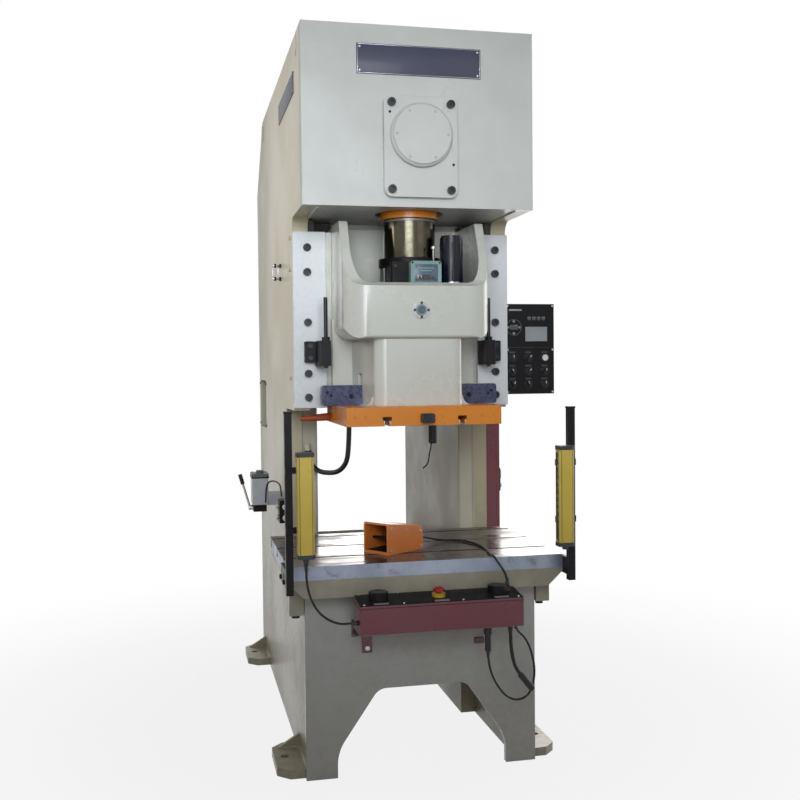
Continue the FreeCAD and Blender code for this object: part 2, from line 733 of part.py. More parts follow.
def bushes():
    """Bronze bushes: two carry the crankshaft, two carry the pinion shaft."""
    front = CROWN_FRONT_Y
    front_end = CROWN_FRONT_Y + CROWN_FRONT_PLATE + FRONT_HUB_LENGTH
    crank_bush = (JOURNAL_RADIUS + BUSH_WALL, JOURNAL_RADIUS + BUSH_CLEARANCE)
    pinion_bush = (PINION_SHAFT_RADIUS + BUSH_WALL, PINION_SHAFT_RADIUS + BUSH_CLEARANCE)
    rings = [ring_y(*crank_bush, front, front_end, 0, CRANK_Z)]
    for wall_y, sizes, z in ((FRONT_WALL_Y, crank_bush, CRANK_Z), (FRONT_WALL_Y, pinion_bush, PINION_Z),
                             (REAR_WALL_Y, pinion_bush, PINION_Z)):
        rings.append(ring_y(*sizes, wall_y - BUSH_OVERHANG, wall_y + WALL_THICKNESS + BUSH_OVERHANG, 0, z))
    return group(rings)


def rear_cover():
    """Bent sheet guard over the slope and the back, with two columns of louvres."""
    run = (REAR_Y - REAR_SLOPE_Y, REAR_SLOPE_Z - TOTAL_HEIGHT)
    length = hypot(*run)
    inward = (run[1] / length * COVER_SHEET, -run[0] / length * COVER_SHEET)
    sheet = side_profile([(REAR_SLOPE_Y, TOTAL_HEIGHT), (REAR_Y, REAR_SLOPE_Z), (REAR_Y, COVER_LOW),
                          (REAR_Y - COVER_SHEET, COVER_LOW),
                          (REAR_Y - COVER_SHEET, REAR_SLOPE_Z + inward[1]),
                          (REAR_SLOPE_Y + inward[0], TOTAL_HEIGHT + inward[1])],
                         -SIDE_INNER_X, SIDE_INNER_X)
    slots = []
    first = COVER_LOW + 60
    for side in (-1, 1):
        middle = side * SIDE_INNER_X / 2
        for k in range(LOUVRE_COUNT):
            low = first + k * LOUVRE_PITCH
            slots.append(box(middle - LOUVRE_LENGTH / 2, middle + LOUVRE_LENGTH / 2,
                             REAR_Y - COVER_SHEET - 1, REAR_Y + 1, low, low + LOUVRE_HEIGHT))
    return cut(sheet, *slots)


def throat_column():
    """Right column behind the throat: a channel that closes to a box against the side plate."""
    outer = box(COLUMN_INNER_X, SIDE_INNER_X, THROAT_DEPTH, COLUMN_REAR_Y, 0, THROAT_TOP)
    hollow = box(COLUMN_INNER_X + COLUMN_WEB, SIDE_INNER_X + 1, THROAT_DEPTH + COLUMN_FLANGE,
                 COLUMN_REAR_Y - COLUMN_FLANGE, -1, THROAT_TOP + 1)
    return cut(outer, hollow)


def throat_columns():
    """Both columns, the left one with the elbow of the air hose on its front."""
    return group([throat_column(), fuse(mirrored(throat_column()), hose_elbow())])


def apron():
    half = APRON_WIDTH / 2
    plate = box(-half, half, APRON_FRONT_Y, APRON_FRONT_Y + APRON_PLATE, 0, BED_LOW)
    arch = front_profile([(-ARCH_HALF_WIDTH, -1), (-ARCH_HALF_WIDTH, ARCH_SHOULDER, ARCH_SHOULDER_RADIUS),
                          (-ARCH_TOP_HALF_WIDTH, ARCH_HEIGHT, ARCH_TOP_RADIUS),
                          (ARCH_TOP_HALF_WIDTH, ARCH_HEIGHT, ARCH_TOP_RADIUS),
                          (ARCH_HALF_WIDTH, ARCH_SHOULDER, ARCH_SHOULDER_RADIUS), (ARCH_HALF_WIDTH, -1)],
                         APRON_FRONT_Y - 1, APRON_FRONT_Y + APRON_PLATE + 1)
    return cut(plate, arch)


def back_plate():
    return box(-SIDE_INNER_X, SIDE_INNER_X, REAR_Y - BACK_PLATE, REAR_Y,
               BACK_PLATE_LOW, BACK_PLATE_LOW + BACK_PLATE_HEIGHT)


# ---------------------------------------------------------------- bed, bolster and gibs
def bed():
    half = BOLSTER_WIDTH / 2
    plate = front_profile([(-half, BED_TOP), (-half, BED_LOW + BED_CHAMFER_Z),
                           (-half + BED_CHAMFER_X, BED_LOW), (half - BED_CHAMFER_X, BED_LOW),
                           (half, BED_LOW + BED_CHAMFER_Z), (half, BED_TOP)],
                          BOLSTER_FRONT_Y, THROAT_DEPTH)
    inner = APRON_WIDTH / 2 + LUG_GAP
    lug = front_profile([(inner, BED_LOW + BED_CHAMFER_Z), (inner + LUG_WIDTH, BED_LOW + BED_CHAMFER_Z),
                         (inner + LUG_WIDTH, BED_LOW - LUG_DROP), (inner, BED_LOW - LUG_DROP)],
                        APRON_FRONT_Y - 10, APRON_FRONT_Y - 10 + LUG_LENGTH)
    return fuse(plate, *both_sides(lug))


def bolster():
    half = BOLSTER_WIDTH / 2
    plate = box(-half, half, BOLSTER_FRONT_Y, BOLSTER_FRONT_Y + BOLSTER_DEPTH, BED_TOP, BOLSTER_TOP)
    slots = [side_profile(t_slot(BOLSTER_SLOT_FIRST_Y + k * BOLSTER_SLOT_PITCH, BOLSTER_TOP, -1),
                          -half - 1, half + 1) for k in range(BOLSTER_SLOT_COUNT)]
    return cut(plate, *slots)


def gib():
    """Right gib plate: keeps the slide's flange against its guide."""
    return front_profile(rectangle(GIB_INNER_X, HALF_WIDTH, GIB_LOW, GIB_LOW + GIB_HEIGHT, 3),
                         GIB_FRONT_Y, COLUMN_FRONT_Y)


def guide():
    """Right guide block behind the gib: its side and its lip bear on the slide's flange."""
    side_x = FLANGE_HALF_WIDTH + GUIDE_CLEARANCE
    lip_y = BODY_BACK_Y + GUIDE_CLEARANCE
    return plan_profile([(side_x, COLUMN_FRONT_Y), (SIDE_INNER_X, COLUMN_FRONT_Y),
                         (SIDE_INNER_X, FRONT_WALL_Y), (GUIDE_LIP_INNER_X, FRONT_WALL_Y, 6),
                         (GUIDE_LIP_INNER_X, lip_y, 6), (side_x, lip_y)], GIB_LOW, GUIDE_TOP)


def socket_bolt(face_y, x, z, scale=1.0):
    """Round-headed screw with a hexagon socket, its head standing out of a face that looks forward."""
    front = face_y - BOLT_HEAD_HEIGHT * scale
    head = rod_y(BOLT_HEAD_RADIUS * scale, front, face_y, x, z)
    socket = front_profile(hexagon(BOLT_SOCKET_FLATS * scale, x, z), front - 1,
                           front + BOLT_SOCKET_DEPTH * scale)
    return cut(head, socket)


def frame_bolts():
    bolts = []
    for height in GIB_BOLT_HEIGHTS:
        bolts += both_sides(socket_bolt(GIB_FRONT_Y, GIB_BOLT_X, GIB_LOW + height))
    for z in (COVER_BOTTOM_Z + COVER_BOLT_INSET_Z, COVER_TOP_Z - COVER_BOLT_INSET_Z):
        bolts += both_sides(socket_bolt(CROWN_FRONT_Y - COVER_PLATE, COVER_BOLT_X, z))
    flange_x = BRACKET_INNER_X + BRACKET_WIDTH - BRACKET_SCREW_INSET
    middle_z = BRACKET_LOW + (BRACKET_HEIGHT + BRACKET_FLANGE_RISE) / 2
    for z in (middle_z - BRACKET_SCREW_SPREAD / 2, middle_z + BRACKET_SCREW_SPREAD / 2):
        bolts += both_sides(socket_bolt(GIB_FRONT_Y - BRACKET_FLANGE, flange_x, z, BRACKET_SCREW_SCALE))
    hanging = socket_bolt(0, 0, 0)
    hanging.rotate(vec(0, 0, 0), vec(1, 0, 0), 90)
    hanging.translate(vec(APRON_WIDTH / 2 + LUG_GAP + LUG_WIDTH / 2, APRON_FRONT_Y - 10 + LUG_LENGTH / 2,
                          BED_LOW - LUG_DROP))
    bolts += both_sides(hanging)
    return group(bolts)


def bearing_cover():
    """Front cover of the crank bearing: flange, round boss and the flat cap on it."""
    face = CROWN_FRONT_Y - COVER_PLATE
    flange = front_profile(rectangle(-COVER_HALF_WIDTH, COVER_HALF_WIDTH, COVER_BOTTOM_Z, COVER_TOP_Z,
                                     COVER_CORNER), face, CROWN_FRONT_Y)
    boss = turned_y([(face - BOSS_HEIGHT - CAP_HEIGHT, CAP_RADIUS), (face - BOSS_HEIGHT, CAP_RADIUS),
                     (face - BOSS_HEIGHT, BOSS_RADIUS - 5), (face - BOSS_HEIGHT + 5, BOSS_RADIUS),
                     (face, BOSS_RADIUS)], 0, CRANK_Z)
    return fuse(flange, boss)


def stop_bracket():
    """Right bracket on the gib: a deep body that holds a stop screw over the bar's end, and its flange."""
    inner, outer = BRACKET_INNER_X, BRACKET_INNER_X + BRACKET_WIDTH
    body_x, top = inner + BRACKET_BODY_WIDTH, BRACKET_LOW + BRACKET_HEIGHT
    flange_y = GIB_FRONT_Y - BRACKET_FLANGE
    body = plan_profile([(inner, BRACKET_FRONT_Y), (body_x - BRACKET_CUT_X, BRACKET_FRONT_Y),
                         (body_x, BRACKET_FRONT_Y + BRACKET_CUT_Y), (body_x, GIB_FRONT_Y),
                         (inner, GIB_FRONT_Y)], BRACKET_LOW, top)
    flange = front_profile(rectangle(body_x - 5, outer, BRACKET_LOW + BRACKET_FLANGE_RISE, top, 4),
                           flange_y, GIB_FRONT_Y)
    nut = plan_profile(hexagon(STOP_NUT_FLATS, STOP_SCREW_X, STOP_SCREW_Y), top - 1, top + STOP_NUT_HEIGHT)
    bore = rod_z(STOP_SCREW_RADIUS + STOP_SCREW_CLEARANCE, BRACKET_LOW - 1, top + STOP_NUT_HEIGHT + 1,
                 STOP_SCREW_X, STOP_SCREW_Y)
    return cut(fuse(body, flange, nut), bore)


def stop_screw():
    low = BRACKET_LOW - STOP_SCREW_FOOT
    return rod_z(STOP_SCREW_RADIUS, low, low + STOP_SCREW_LENGTH, STOP_SCREW_X, STOP_SCREW_Y)


# ---------------------------------------------------------------- crank drive
def crankshaft():
    half_pin = PIN_LENGTH / 2
    front = CROWN_FRONT_Y + 2
    web_end = half_pin + WEB_THICKNESS
    pin_z = CRANK_Z + THROW
    journal = rod_y(JOURNAL_RADIUS, front, -half_pin - 1, 0, CRANK_Z)
    shaft = rod_y(JOURNAL_RADIUS, half_pin + 1, SHAFT_END_Y, 0, CRANK_Z)
    pin = rod_y(PIN_RADIUS, -half_pin - 1, half_pin + 1, 0, pin_z)
    web = rectangle(-WEB_RADIUS, WEB_RADIUS, CRANK_Z - WEB_RADIUS, pin_z + WEB_RADIUS, WEB_RADIUS - 0.1)
    return fuse(journal, shaft, pin, front_profile(web, -web_end, -half_pin),
                front_profile(web, half_pin, web_end))


def rod_strap():
    """Split big end that rides on the crank pin."""
    pin_z = CRANK_Z + THROW
    half = STRAP_WIDTH / 2
    body = rod_y(STRAP_RADIUS, -half, half, 0, pin_z)
    reach = STRAP_RADIUS + STRAP_LUG
    lug = box(-reach, reach, -half, half, pin_z - STRAP_LUG_RISE, pin_z + STRAP_LUG_RISE)
    bolts = both_sides(rod_z(STRAP_BOLT_RADIUS, pin_z - STRAP_BOLT_RISE, pin_z + STRAP_BOLT_RISE,
                             reach - STRAP_LUG / 2 - 4, 0))
    bore = rod_y(PIN_RADIUS + BUSH_CLEARANCE, -half - 1, half + 1, 0, pin_z)
    return cut(fuse(body, lug, *bolts), bore)


def connecting_rod():
    top = CRANK_Z + THROW - STRAP_RADIUS - ROD_GAP
    return turned_z([(ROD_LOW, ROD_FOOT_RADIUS), (ROD_LOW + ROD_FOOT_HEIGHT, ROD_FOOT_RADIUS),
                     (ROD_TAPER_TOP, ROD_NECK_RADIUS + 6), (top, ROD_NECK_RADIUS)], 0, 0)


def ball_sleeve():
    return rod_z(SLEEVE_RADIUS, SLEEVE_LOW, ROD_LOW, 0, 0)


def involute_gear(teeth, first_tooth, y0, y1, z):
    """Spur gear about a line along Y; first_tooth is the direction of one tooth's middle."""
    pitch_radius = MODULE * teeth / 2
    base = pitch_radius * cos(PRESSURE_ANGLE)
    root, tip = pitch_radius - 1.25 * MODULE, pitch_radius + 0.95 * MODULE
    half_tooth = (pi * MODULE / 2 - BACKLASH / 2) / 2 / pitch_radius

    def half_angle(radius):
        if radius <= base:
            return half_tooth + tan(PRESSURE_ANGLE) - PRESSURE_ANGLE
        roll = acos(base / radius)
        return half_tooth + tan(PRESSURE_ANGLE) - PRESSURE_ANGLE - tan(roll) + roll

    radii = [root, pitch_radius, tip]
    points = []
    for tooth in range(teeth):
        middle = first_tooth + 2 * pi * tooth / teeth
        flank = [(r, middle - half_angle(r)) for r in radii]
        flank += [(r, middle + half_angle(r)) for r in reversed(radii)]
        points += [vec(r * cos(a), y0, z + r * sin(a)) for r, a in flank]
    return Part.Face(Part.makePolygon(points + points[:1])).extrude(vec(0, y1 - y0, 0))


def main_gear():
    y0, y1 = GEAR_Y, GEAR_Y + GEAR_WIDTH
    gear = involute_gear(GEAR_TEETH, -pi / 2, y0, y1, CRANK_Z)
    rim_inner = GEAR_RADIUS - 1.25 * MODULE - GEAR_RIM
    dish = (GEAR_WIDTH - GEAR_WEB) / 2
    hollows = [ring_y(rim_inner, GEAR_HUB_RADIUS, y0 - 1, y0 + dish, 0, CRANK_Z),
               ring_y(rim_inner, GEAR_HUB_RADIUS, y1 - dish, y1 + 1, 0, CRANK_Z)]
    hole_circle = (rim_inner + GEAR_HUB_RADIUS) / 2
    for k in range(GEAR_HOLES):
        angle = 2 * pi * k / GEAR_HOLES
        hollows.append(rod_y(GEAR_HOLE_RADIUS, y0, y1, hole_circle * cos(angle),
                             CRANK_Z + hole_circle * sin(angle)))
    return cut(gear, *hollows, rod_y(JOURNAL_RADIUS, y0 - 1, y1 + 1, 0, CRANK_Z))


def pinion_shaft():
    """Pinion, shaft and the brake drum in one turned piece."""
    front = FRONT_WALL_Y - BUSH_OVERHANG
    shaft = turned_y([(front, PINION_SHAFT_RADIUS), (BRAKE_Y - 20, PINION_SHAFT_RADIUS),
                      (BRAKE_Y - 20, 75), (BRAKE_Y, 75), (BRAKE_Y, BRAKE_RADIUS),
                      (BRAKE_Y + BRAKE_LENGTH, BRAKE_RADIUS), (BRAKE_Y + BRAKE_LENGTH, PINION_SHAFT_RADIUS),
                      (PINION_SHAFT_END_Y, PINION_SHAFT_RADIUS)], 0, PINION_Z)
    gap_up = pi / 2 + pi / PINION_TEETH
    return fuse(shaft, involute_gear(PINION_TEETH, gap_up, GEAR_Y - 3, GEAR_Y + GEAR_WIDTH + 3, PINION_Z))


def belt_middles():
    centre = FLYWHEEL_Y + FLYWHEEL_WIDTH / 2
    return [centre + (k - (BELT_COUNT - 1) / 2) * BELT_PITCH for k in range(BELT_COUNT)]


def groove_steps(y0, y1, radius):
    """Pulley outline from front to back with a tapered groove for each belt."""
    steps = [(y0, radius)]
    for middle in belt_middles():
        half = BELT_WIDTH / 2 + BELT_GAP
        steps += [(middle - half, radius), (middle - half + GROOVE_TAPER, radius - BELT_DEPTH),
                  (middle + half - GROOVE_TAPER, radius - BELT_DEPTH), (middle + half, radius)]
    return steps + [(y1, radius)]


def flywheel():
    """Flat-rimmed wheel, dished to its web on both faces, with the clutch housing on its back."""
    y0, y1 = FLYWHEEL_Y, FLYWHEEL_Y + FLYWHEEL_WIDTH
    wheel = rod_y(FLYWHEEL_RADIUS, y0, y1, 0, PINION_Z)
    rim_inner = FLYWHEEL_RADIUS - FLYWHEEL_RIM
    dish = (FLYWHEEL_WIDTH - FLYWHEEL_WEB) / 2
    hollows = [ring_y(rim_inner, FLYWHEEL_HUB_RADIUS, y0 - 1, y0 + dish, 0, PINION_Z),
               ring_y(rim_inner, CLUTCH_RADIUS, y1 - dish, y1 + 1, 0, PINION_Z)]
    hole_circle = (rim_inner + CLUTCH_RADIUS) / 2
    for k in range(FLYWHEEL_HOLES):
        angle = 2 * pi * k / FLYWHEEL_HOLES
        hollows.append(rod_y(FLYWHEEL_HOLE_RADIUS, y0, y1, hole_circle * cos(angle),
                             PINION_Z + hole_circle * sin(angle)))
    clutch = rod_y(CLUTCH_RADIUS, y1 - dish - 1, y1 + CLUTCH_LENGTH, 0, PINION_Z)
    bore = rod_y(PINION_SHAFT_RADIUS + BUSH_CLEARANCE, y0 - 1, y1 + CLUTCH_LENGTH + 1, 0, PINION_Z)
    return cut(fuse(cut(wheel, *hollows), clutch), bore)


def motor_pulley():
    y0, y1 = FLYWHEEL_Y, FLYWHEEL_Y + FLYWHEEL_WIDTH
    pulley = turned_y(groove_steps(y0, y1, PULLEY_RADIUS), 0, MOTOR_Z)
    return cut(pulley, rod_y(PULLEY_BORE + BUSH_CLEARANCE, y0 - 1, y1 + 1, 0, MOTOR_Z))


def drive_belts():
    """Belts over the flywheel's flat rim, each in its groove on the motor pulley."""
    belts = []
    big, small = FLYWHEEL_RADIUS + BELT_GAP, PULLEY_RADIUS - BELT_DEPTH + BELT_GAP
    thickness = BELT_DEPTH - 2
    spread = PINION_Z - MOTOR_Z
    for middle in belt_middles():
        half = BELT_WIDTH / 2 - GROOVE_TAPER
        loops = []
        for extra in (thickness, 0.0):
            r1, r2 = big + extra, small + extra
            lean = acos((r1 - r2) / spread)
            up = (sin(lean), -cos(lean))
            start, end = (r1 * up[0], PINION_Z + r1 * up[1]), (r2 * up[0], MOTOR_Z + r2 * up[1])
            place = lambda p: vec(p[0], middle - half, p[1])
            left = lambda p: (-p[0], p[1])
            edges = [Part.Arc(place(left(start)), place((0, PINION_Z + r1)), place(start)).toShape(),
                     Part.LineSegment(place(start), place(end)).toShape(),
                     Part.Arc(place(end), place((0, MOTOR_Z - r2)), place(left(end))).toShape(),
                     Part.LineSegment(place(left(end)), place(left(start))).toShape()]
            loops.append(Part.Face(Part.Wire(edges)).extrude(vec(0, 2 * half, 0)))
        belts.append(cut(*loops))
    return group(belts)


def drive_motor():
    """Finned motor hung under its base plate, with its shaft, terminal box and fan cowl."""
    end = MOTOR_Y + MOTOR_LENGTH
    body = turned_y([(MOTOR_Y, MOTOR_RADIUS - 20), (MOTOR_Y + 20, MOTOR_RADIUS),
                     (end - MOTOR_COWL, MOTOR_RADIUS), (end - MOTOR_COWL, MOTOR_RADIUS + 8),
                     (end, MOTOR_RADIUS + 8)], 0, MOTOR_Z)
    shaft = rod_y(PULLEY_BORE, FLYWHEEL_Y, MOTOR_Y + 1, 0, MOTOR_Z)
    fins = []
    for k in range(MOTOR_FINS):
        fin = box(-MOTOR_FIN_THICKNESS / 2, MOTOR_FIN_THICKNESS / 2, MOTOR_Y + 40, end - MOTOR_COWL - 5,
                  MOTOR_Z + MOTOR_RADIUS - 6, MOTOR_Z + MOTOR_RADIUS + MOTOR_FIN)
        fin.rotate(vec(0, 0, MOTOR_Z), vec(0, 1, 0), 360 * (k + 0.5) / MOTOR_FINS)
        fins.append(fin)
    feet = [box(side * 70 - 18, side * 70 + 18, foot_y, foot_y + 40, MOTOR_Z + 60, MOTOR_BASE_Z)
            for side in (-1, 1) for foot_y in (MOTOR_Y + 60, end - 150)]
    terminal_box = box(-MOTOR_RADIUS - TERMINAL_REACH, -MOTOR_RADIUS + 20, MOTOR_Y + 90,
                       MOTOR_Y + 90 + TERMINAL_LENGTH, MOTOR_Z - TERMINAL_RISE, MOTOR_Z + TERMINAL_RISE)
    base = box(-SIDE_INNER_X, SIDE_INNER_X, MOTOR_Y - 20, REAR_Y - COVER_SHEET - 1,
               MOTOR_BASE_Z, MOTOR_BASE_Z + MOTOR_BASE)
    return fuse(body, shaft, *fins, *feet, terminal_box, base)


# ---------------------------------------------------------------- slide
def slide_casting():
    half = BODY_HALF_WIDTH
    upper = plan_profile([(-half, BODY_BACK_Y), (-half, BODY_FRONT_Y, BODY_CORNER_RADIUS),
                          (half, BODY_FRONT_Y, BODY_CORNER_RADIUS), (half, BODY_BACK_Y)], BODY_LOW, BODY_TOP)
    upper = upper.common(front_profile([(-half, BODY_TOP), (-half, BODY_LOW, BODY_LOWER_RADIUS),
                                        (half, BODY_LOW, BODY_LOWER_RADIUS), (half, BODY_TOP)],
                                       BODY_FRONT_Y, BODY_BACK_Y))
    upper = upper.common(side_profile([(BODY_FRONT_Y, BODY_TOP), (BODY_FRONT_Y, BODY_LOW, BODY_EDGE_RADIUS),
                                       (BODY_BACK_Y, BODY_LOW), (BODY_BACK_Y, BODY_TOP)], -half, half))
    pocket_half = POCKET_HALF_WIDTH
    pocket = plan_profile([(-pocket_half, BODY_BACK_Y - POCKET_REAR_WALL, 20),
                           (-pocket_half, BODY_FRONT_Y + POCKET_FRONT_WALL, POCKET_CORNER_RADIUS),
                           (pocket_half, BODY_FRONT_Y + POCKET_FRONT_WALL, POCKET_CORNER_RADIUS),
                           (pocket_half, BODY_BACK_Y - POCKET_REAR_WALL, 20)], POCKET_FLOOR, BODY_TOP + 1)
    front_opening = side_profile([(BODY_FRONT_Y - 10, FRONT_WALL_TOP),
                                  (HORN_FOOT_Y, FRONT_WALL_TOP, HORN_SWEEP_RADIUS),
                                  (HORN_FRONT_Y, BODY_TOP + 10), (BODY_FRONT_Y - 10, BODY_TOP + 10)],
                                 -half - 1, half + 1)
    neck = plan_profile([(-NECK_BACK_HALF_WIDTH, BODY_BACK_Y), (-NECK_BACK_HALF_WIDTH, SHOULDER_Y),
                         (-NECK_FRONT_HALF_WIDTH, NECK_FRONT_Y, NECK_CORNER_RADIUS),
                         (NECK_FRONT_HALF_WIDTH, NECK_FRONT_Y, NECK_CORNER_RADIUS),
                         (NECK_BACK_HALF_WIDTH, SHOULDER_Y), (NECK_BACK_HALF_WIDTH, BODY_BACK_Y)],
                        SLIDE_PLATE_TOP, BODY_LOW + 30)
    shoulders = box(-SHOULDER_HALF_WIDTH, SHOULDER_HALF_WIDTH, SHOULDER_Y, BODY_BACK_Y,
                    SLIDE_PLATE_TOP, BODY_LOW + 80)
    flange = box(-FLANGE_HALF_WIDTH, FLANGE_HALF_WIDTH, COLUMN_FRONT_Y + GUIDE_CLEARANCE, BODY_BACK_Y,
                 SLIDE_PLATE_TOP + 5, BODY_TOP - 19)
    sleeve_bore = rod_z(SLEEVE_RADIUS + SLEEVE_CLEARANCE, POCKET_FLOOR - SLEEVE_BORE_DEPTH,
                        POCKET_FLOOR + 1, 0, 0)
    solid = fuse(upper, neck, *neck_flares(), shoulders, flange)
    return cut(solid, pocket, front_opening, bar_slot(), sleeve_bore)


def neck_flares():
    """Hollow fillets where the neck spreads onto the slide plate."""
    inner, top = NECK_FRONT_HALF_WIDTH + 12, SLIDE_PLATE_TOP + NECK_FLARE
    outer = inner + NECK_FLARE
    middle = (outer - NECK_FLARE * sin(pi / 4), top - NECK_FLARE * cos(pi / 4))
    front = NECK_FRONT_Y + NECK_CORNER_RADIUS
    place = lambda x, z: vec(x, front, z)
    edges = [Part.LineSegment(place(inner - 20, SLIDE_PLATE_TOP), place(inner - 20, top)).toShape(),
             Part.LineSegment(place(inner - 20, top), place(inner, top)).toShape(),
             Part.Arc(place(inner, top), place(*middle), place(outer, SLIDE_PLATE_TOP)).toShape(),
             Part.LineSegment(place(outer, SLIDE_PLATE_TOP), place(inner - 20, SLIDE_PLATE_TOP)).toShape()]
    return both_sides(Part.Face(Part.Wire(edges)).extrude(vec(0, SHOULDER_Y - front + 5, 0)))


def bar_slot():
    """Slot through the slide's neck for the knock-out bar and its travel, open to the slide plate."""
    front, back = BAR_FRONT_Y - SLOT_CLEARANCE, BAR_FRONT_Y + BAR_THICKNESS + SLOT_CLEARANCE
    top = BAR_LOW + BAR_HEIGHT + BAR_TRAVEL + SLOT_CLEARANCE
    reach = BODY_HALF_WIDTH + 5
    return box(-reach, reach, front, back, SLIDE_PLATE_TOP - 1, top)


def knockout_bar():
    return front_profile(rectangle(-BAR_HALF_LENGTH, BAR_HALF_LENGTH, BAR_LOW, BAR_LOW + BAR_HEIGHT,
                                   BAR_CORNER_RADIUS), BAR_FRONT_Y, BAR_FRONT_Y + BAR_THICKNESS)


def slide_plate():
    half, deep = SLIDE_PLATE_WIDTH / 2, SLIDE_PLATE_DEPTH / 2
    plate = box(-half, half, -deep, deep, SLIDE_PLATE_LOW, SLIDE_PLATE_TOP)
    slots = [front_profile(t_slot(side * SLIDE_SLOT_X, SLIDE_PLATE_LOW, 1), -deep - 1, deep + 1)
             for side in (-1, 1)]
    shank = rod_z(SHANK_HOLE_RADIUS, SLIDE_PLATE_LOW - 1, SLIDE_PLATE_TOP + 1, 0, 0)
    screw_hole = rod_y(CLAMP_SHAFT_RADIUS, -deep - 1, -SHANK_HOLE_RADIUS - 8, CLAMP_X, CLAMP_Z)
    return cut(fuse(plate, hose_block()), *slots, shank, screw_hole)


def shank_clamp():
    """Square-headed clamp screw in the slide plate's front edge, pointing at the shank hole."""
    deep = SLIDE_PLATE_DEPTH / 2
    half = CLAMP_SIZE / 2
    head = front_profile([(CLAMP_X - half, CLAMP_Z - 17, 6), (CLAMP_X + half, CLAMP_Z - 17, 6),
                          (CLAMP_X + half, CLAMP_Z + 17, 6), (CLAMP_X - half, CLAMP_Z + 17, 6)],
                         -deep - CLAMP_REACH, -deep)
    shaft = rod_y(CLAMP_SHAFT_RADIUS, -deep - 1, -SHANK_HOLE_RADIUS - 8, CLAMP_X, CLAMP_Z)
    return fuse(head, shaft)


def adjuster_gearbox():
    """Worm housing that turns the ball screw, with a collar round the sleeve."""
    half = GEARBOX_HALF_WIDTH
    top = POCKET_FLOOR + GEARBOX_HEIGHT
    block = plan_profile([(-half, GEARBOX_FRONT_Y, 8), (half, GEARBOX_FRONT_Y, 8),
                          (half, GEARBOX_BACK_Y, 30), (-half, GEARBOX_BACK_Y, 30)], POCKET_FLOOR, top)
    collar = rod_z(GEARBOX_COLLAR_RADIUS, top - 10, top + GEARBOX_COLLAR_HEIGHT, 0, 0)
    bore = rod_z(SLEEVE_RADIUS + SLEEVE_CLEARANCE, POCKET_FLOOR - 1, top + GEARBOX_COLLAR_HEIGHT + 1, 0, 0)
    return cut(fuse(block, collar), bore)


def height_counter():
    """Box with a rimmed window that shows the die height."""
    x0, x1 = COUNTER_X - COUNTER_WIDTH / 2, COUNTER_X + COUNTER_WIDTH / 2
    front = GEARBOX_FRONT_Y - COUNTER_DEPTH
    top = COUNTER_LOW + COUNTER_HEIGHT
    case = front_profile(rectangle(x0, x1, COUNTER_LOW, top, 6), front, GEARBOX_FRONT_Y)
    window = front_profile(rectangle(x0 + 13, x1 - 13, COUNTER_LOW + 12, top - 12, 3), front - 1, front + 4)
    return cut(case, window)


def adjuster_motor():
    """Small upright motor on its square foot, with a narrower flange below and cap above."""
    low = POCKET_FLOOR + ADJUSTER_BASE
    half = ADJUSTER_RADIUS - 2
    foot = box(ADJUSTER_X - half, ADJUSTER_X + half, ADJUSTER_Y - half, ADJUSTER_Y + half, POCKET_FLOOR, low)
    can_low, can_top = low + ADJUSTER_END_CAP, ADJUSTER_TOP - ADJUSTER_END_CAP
    flange, cap = ADJUSTER_RADIUS - 6, ADJUSTER_RADIUS - 4
    body = turned_z([(low - 1, flange), (can_low, flange), (can_low, ADJUSTER_RADIUS),
                     (can_top, ADJUSTER_RADIUS), (can_top, cap), (ADJUSTER_TOP, cap)],
                    ADJUSTER_X, ADJUSTER_Y)
    return fuse(foot, body)


def adjuster_port():
    """Round port on the slide's front, with the hexagon that turns the screw by hand."""
    ring = rod_y(PORT_RADIUS, BODY_FRONT_Y - PORT_THICKNESS, BODY_FRONT_Y, 0, PORT_Z)
    well = rod_y(PORT_RADIUS * 0.55, BODY_FRONT_Y - PORT_THICKNESS - 1, BODY_FRONT_Y - 2, 0, PORT_Z)
    plug = front_profile(hexagon(PORT_PLUG_FLATS, 0, PORT_Z), BODY_FRONT_Y - PORT_THICKNESS,
                         BODY_FRONT_Y - 1)
    return fuse(cut(ring, well), plug)


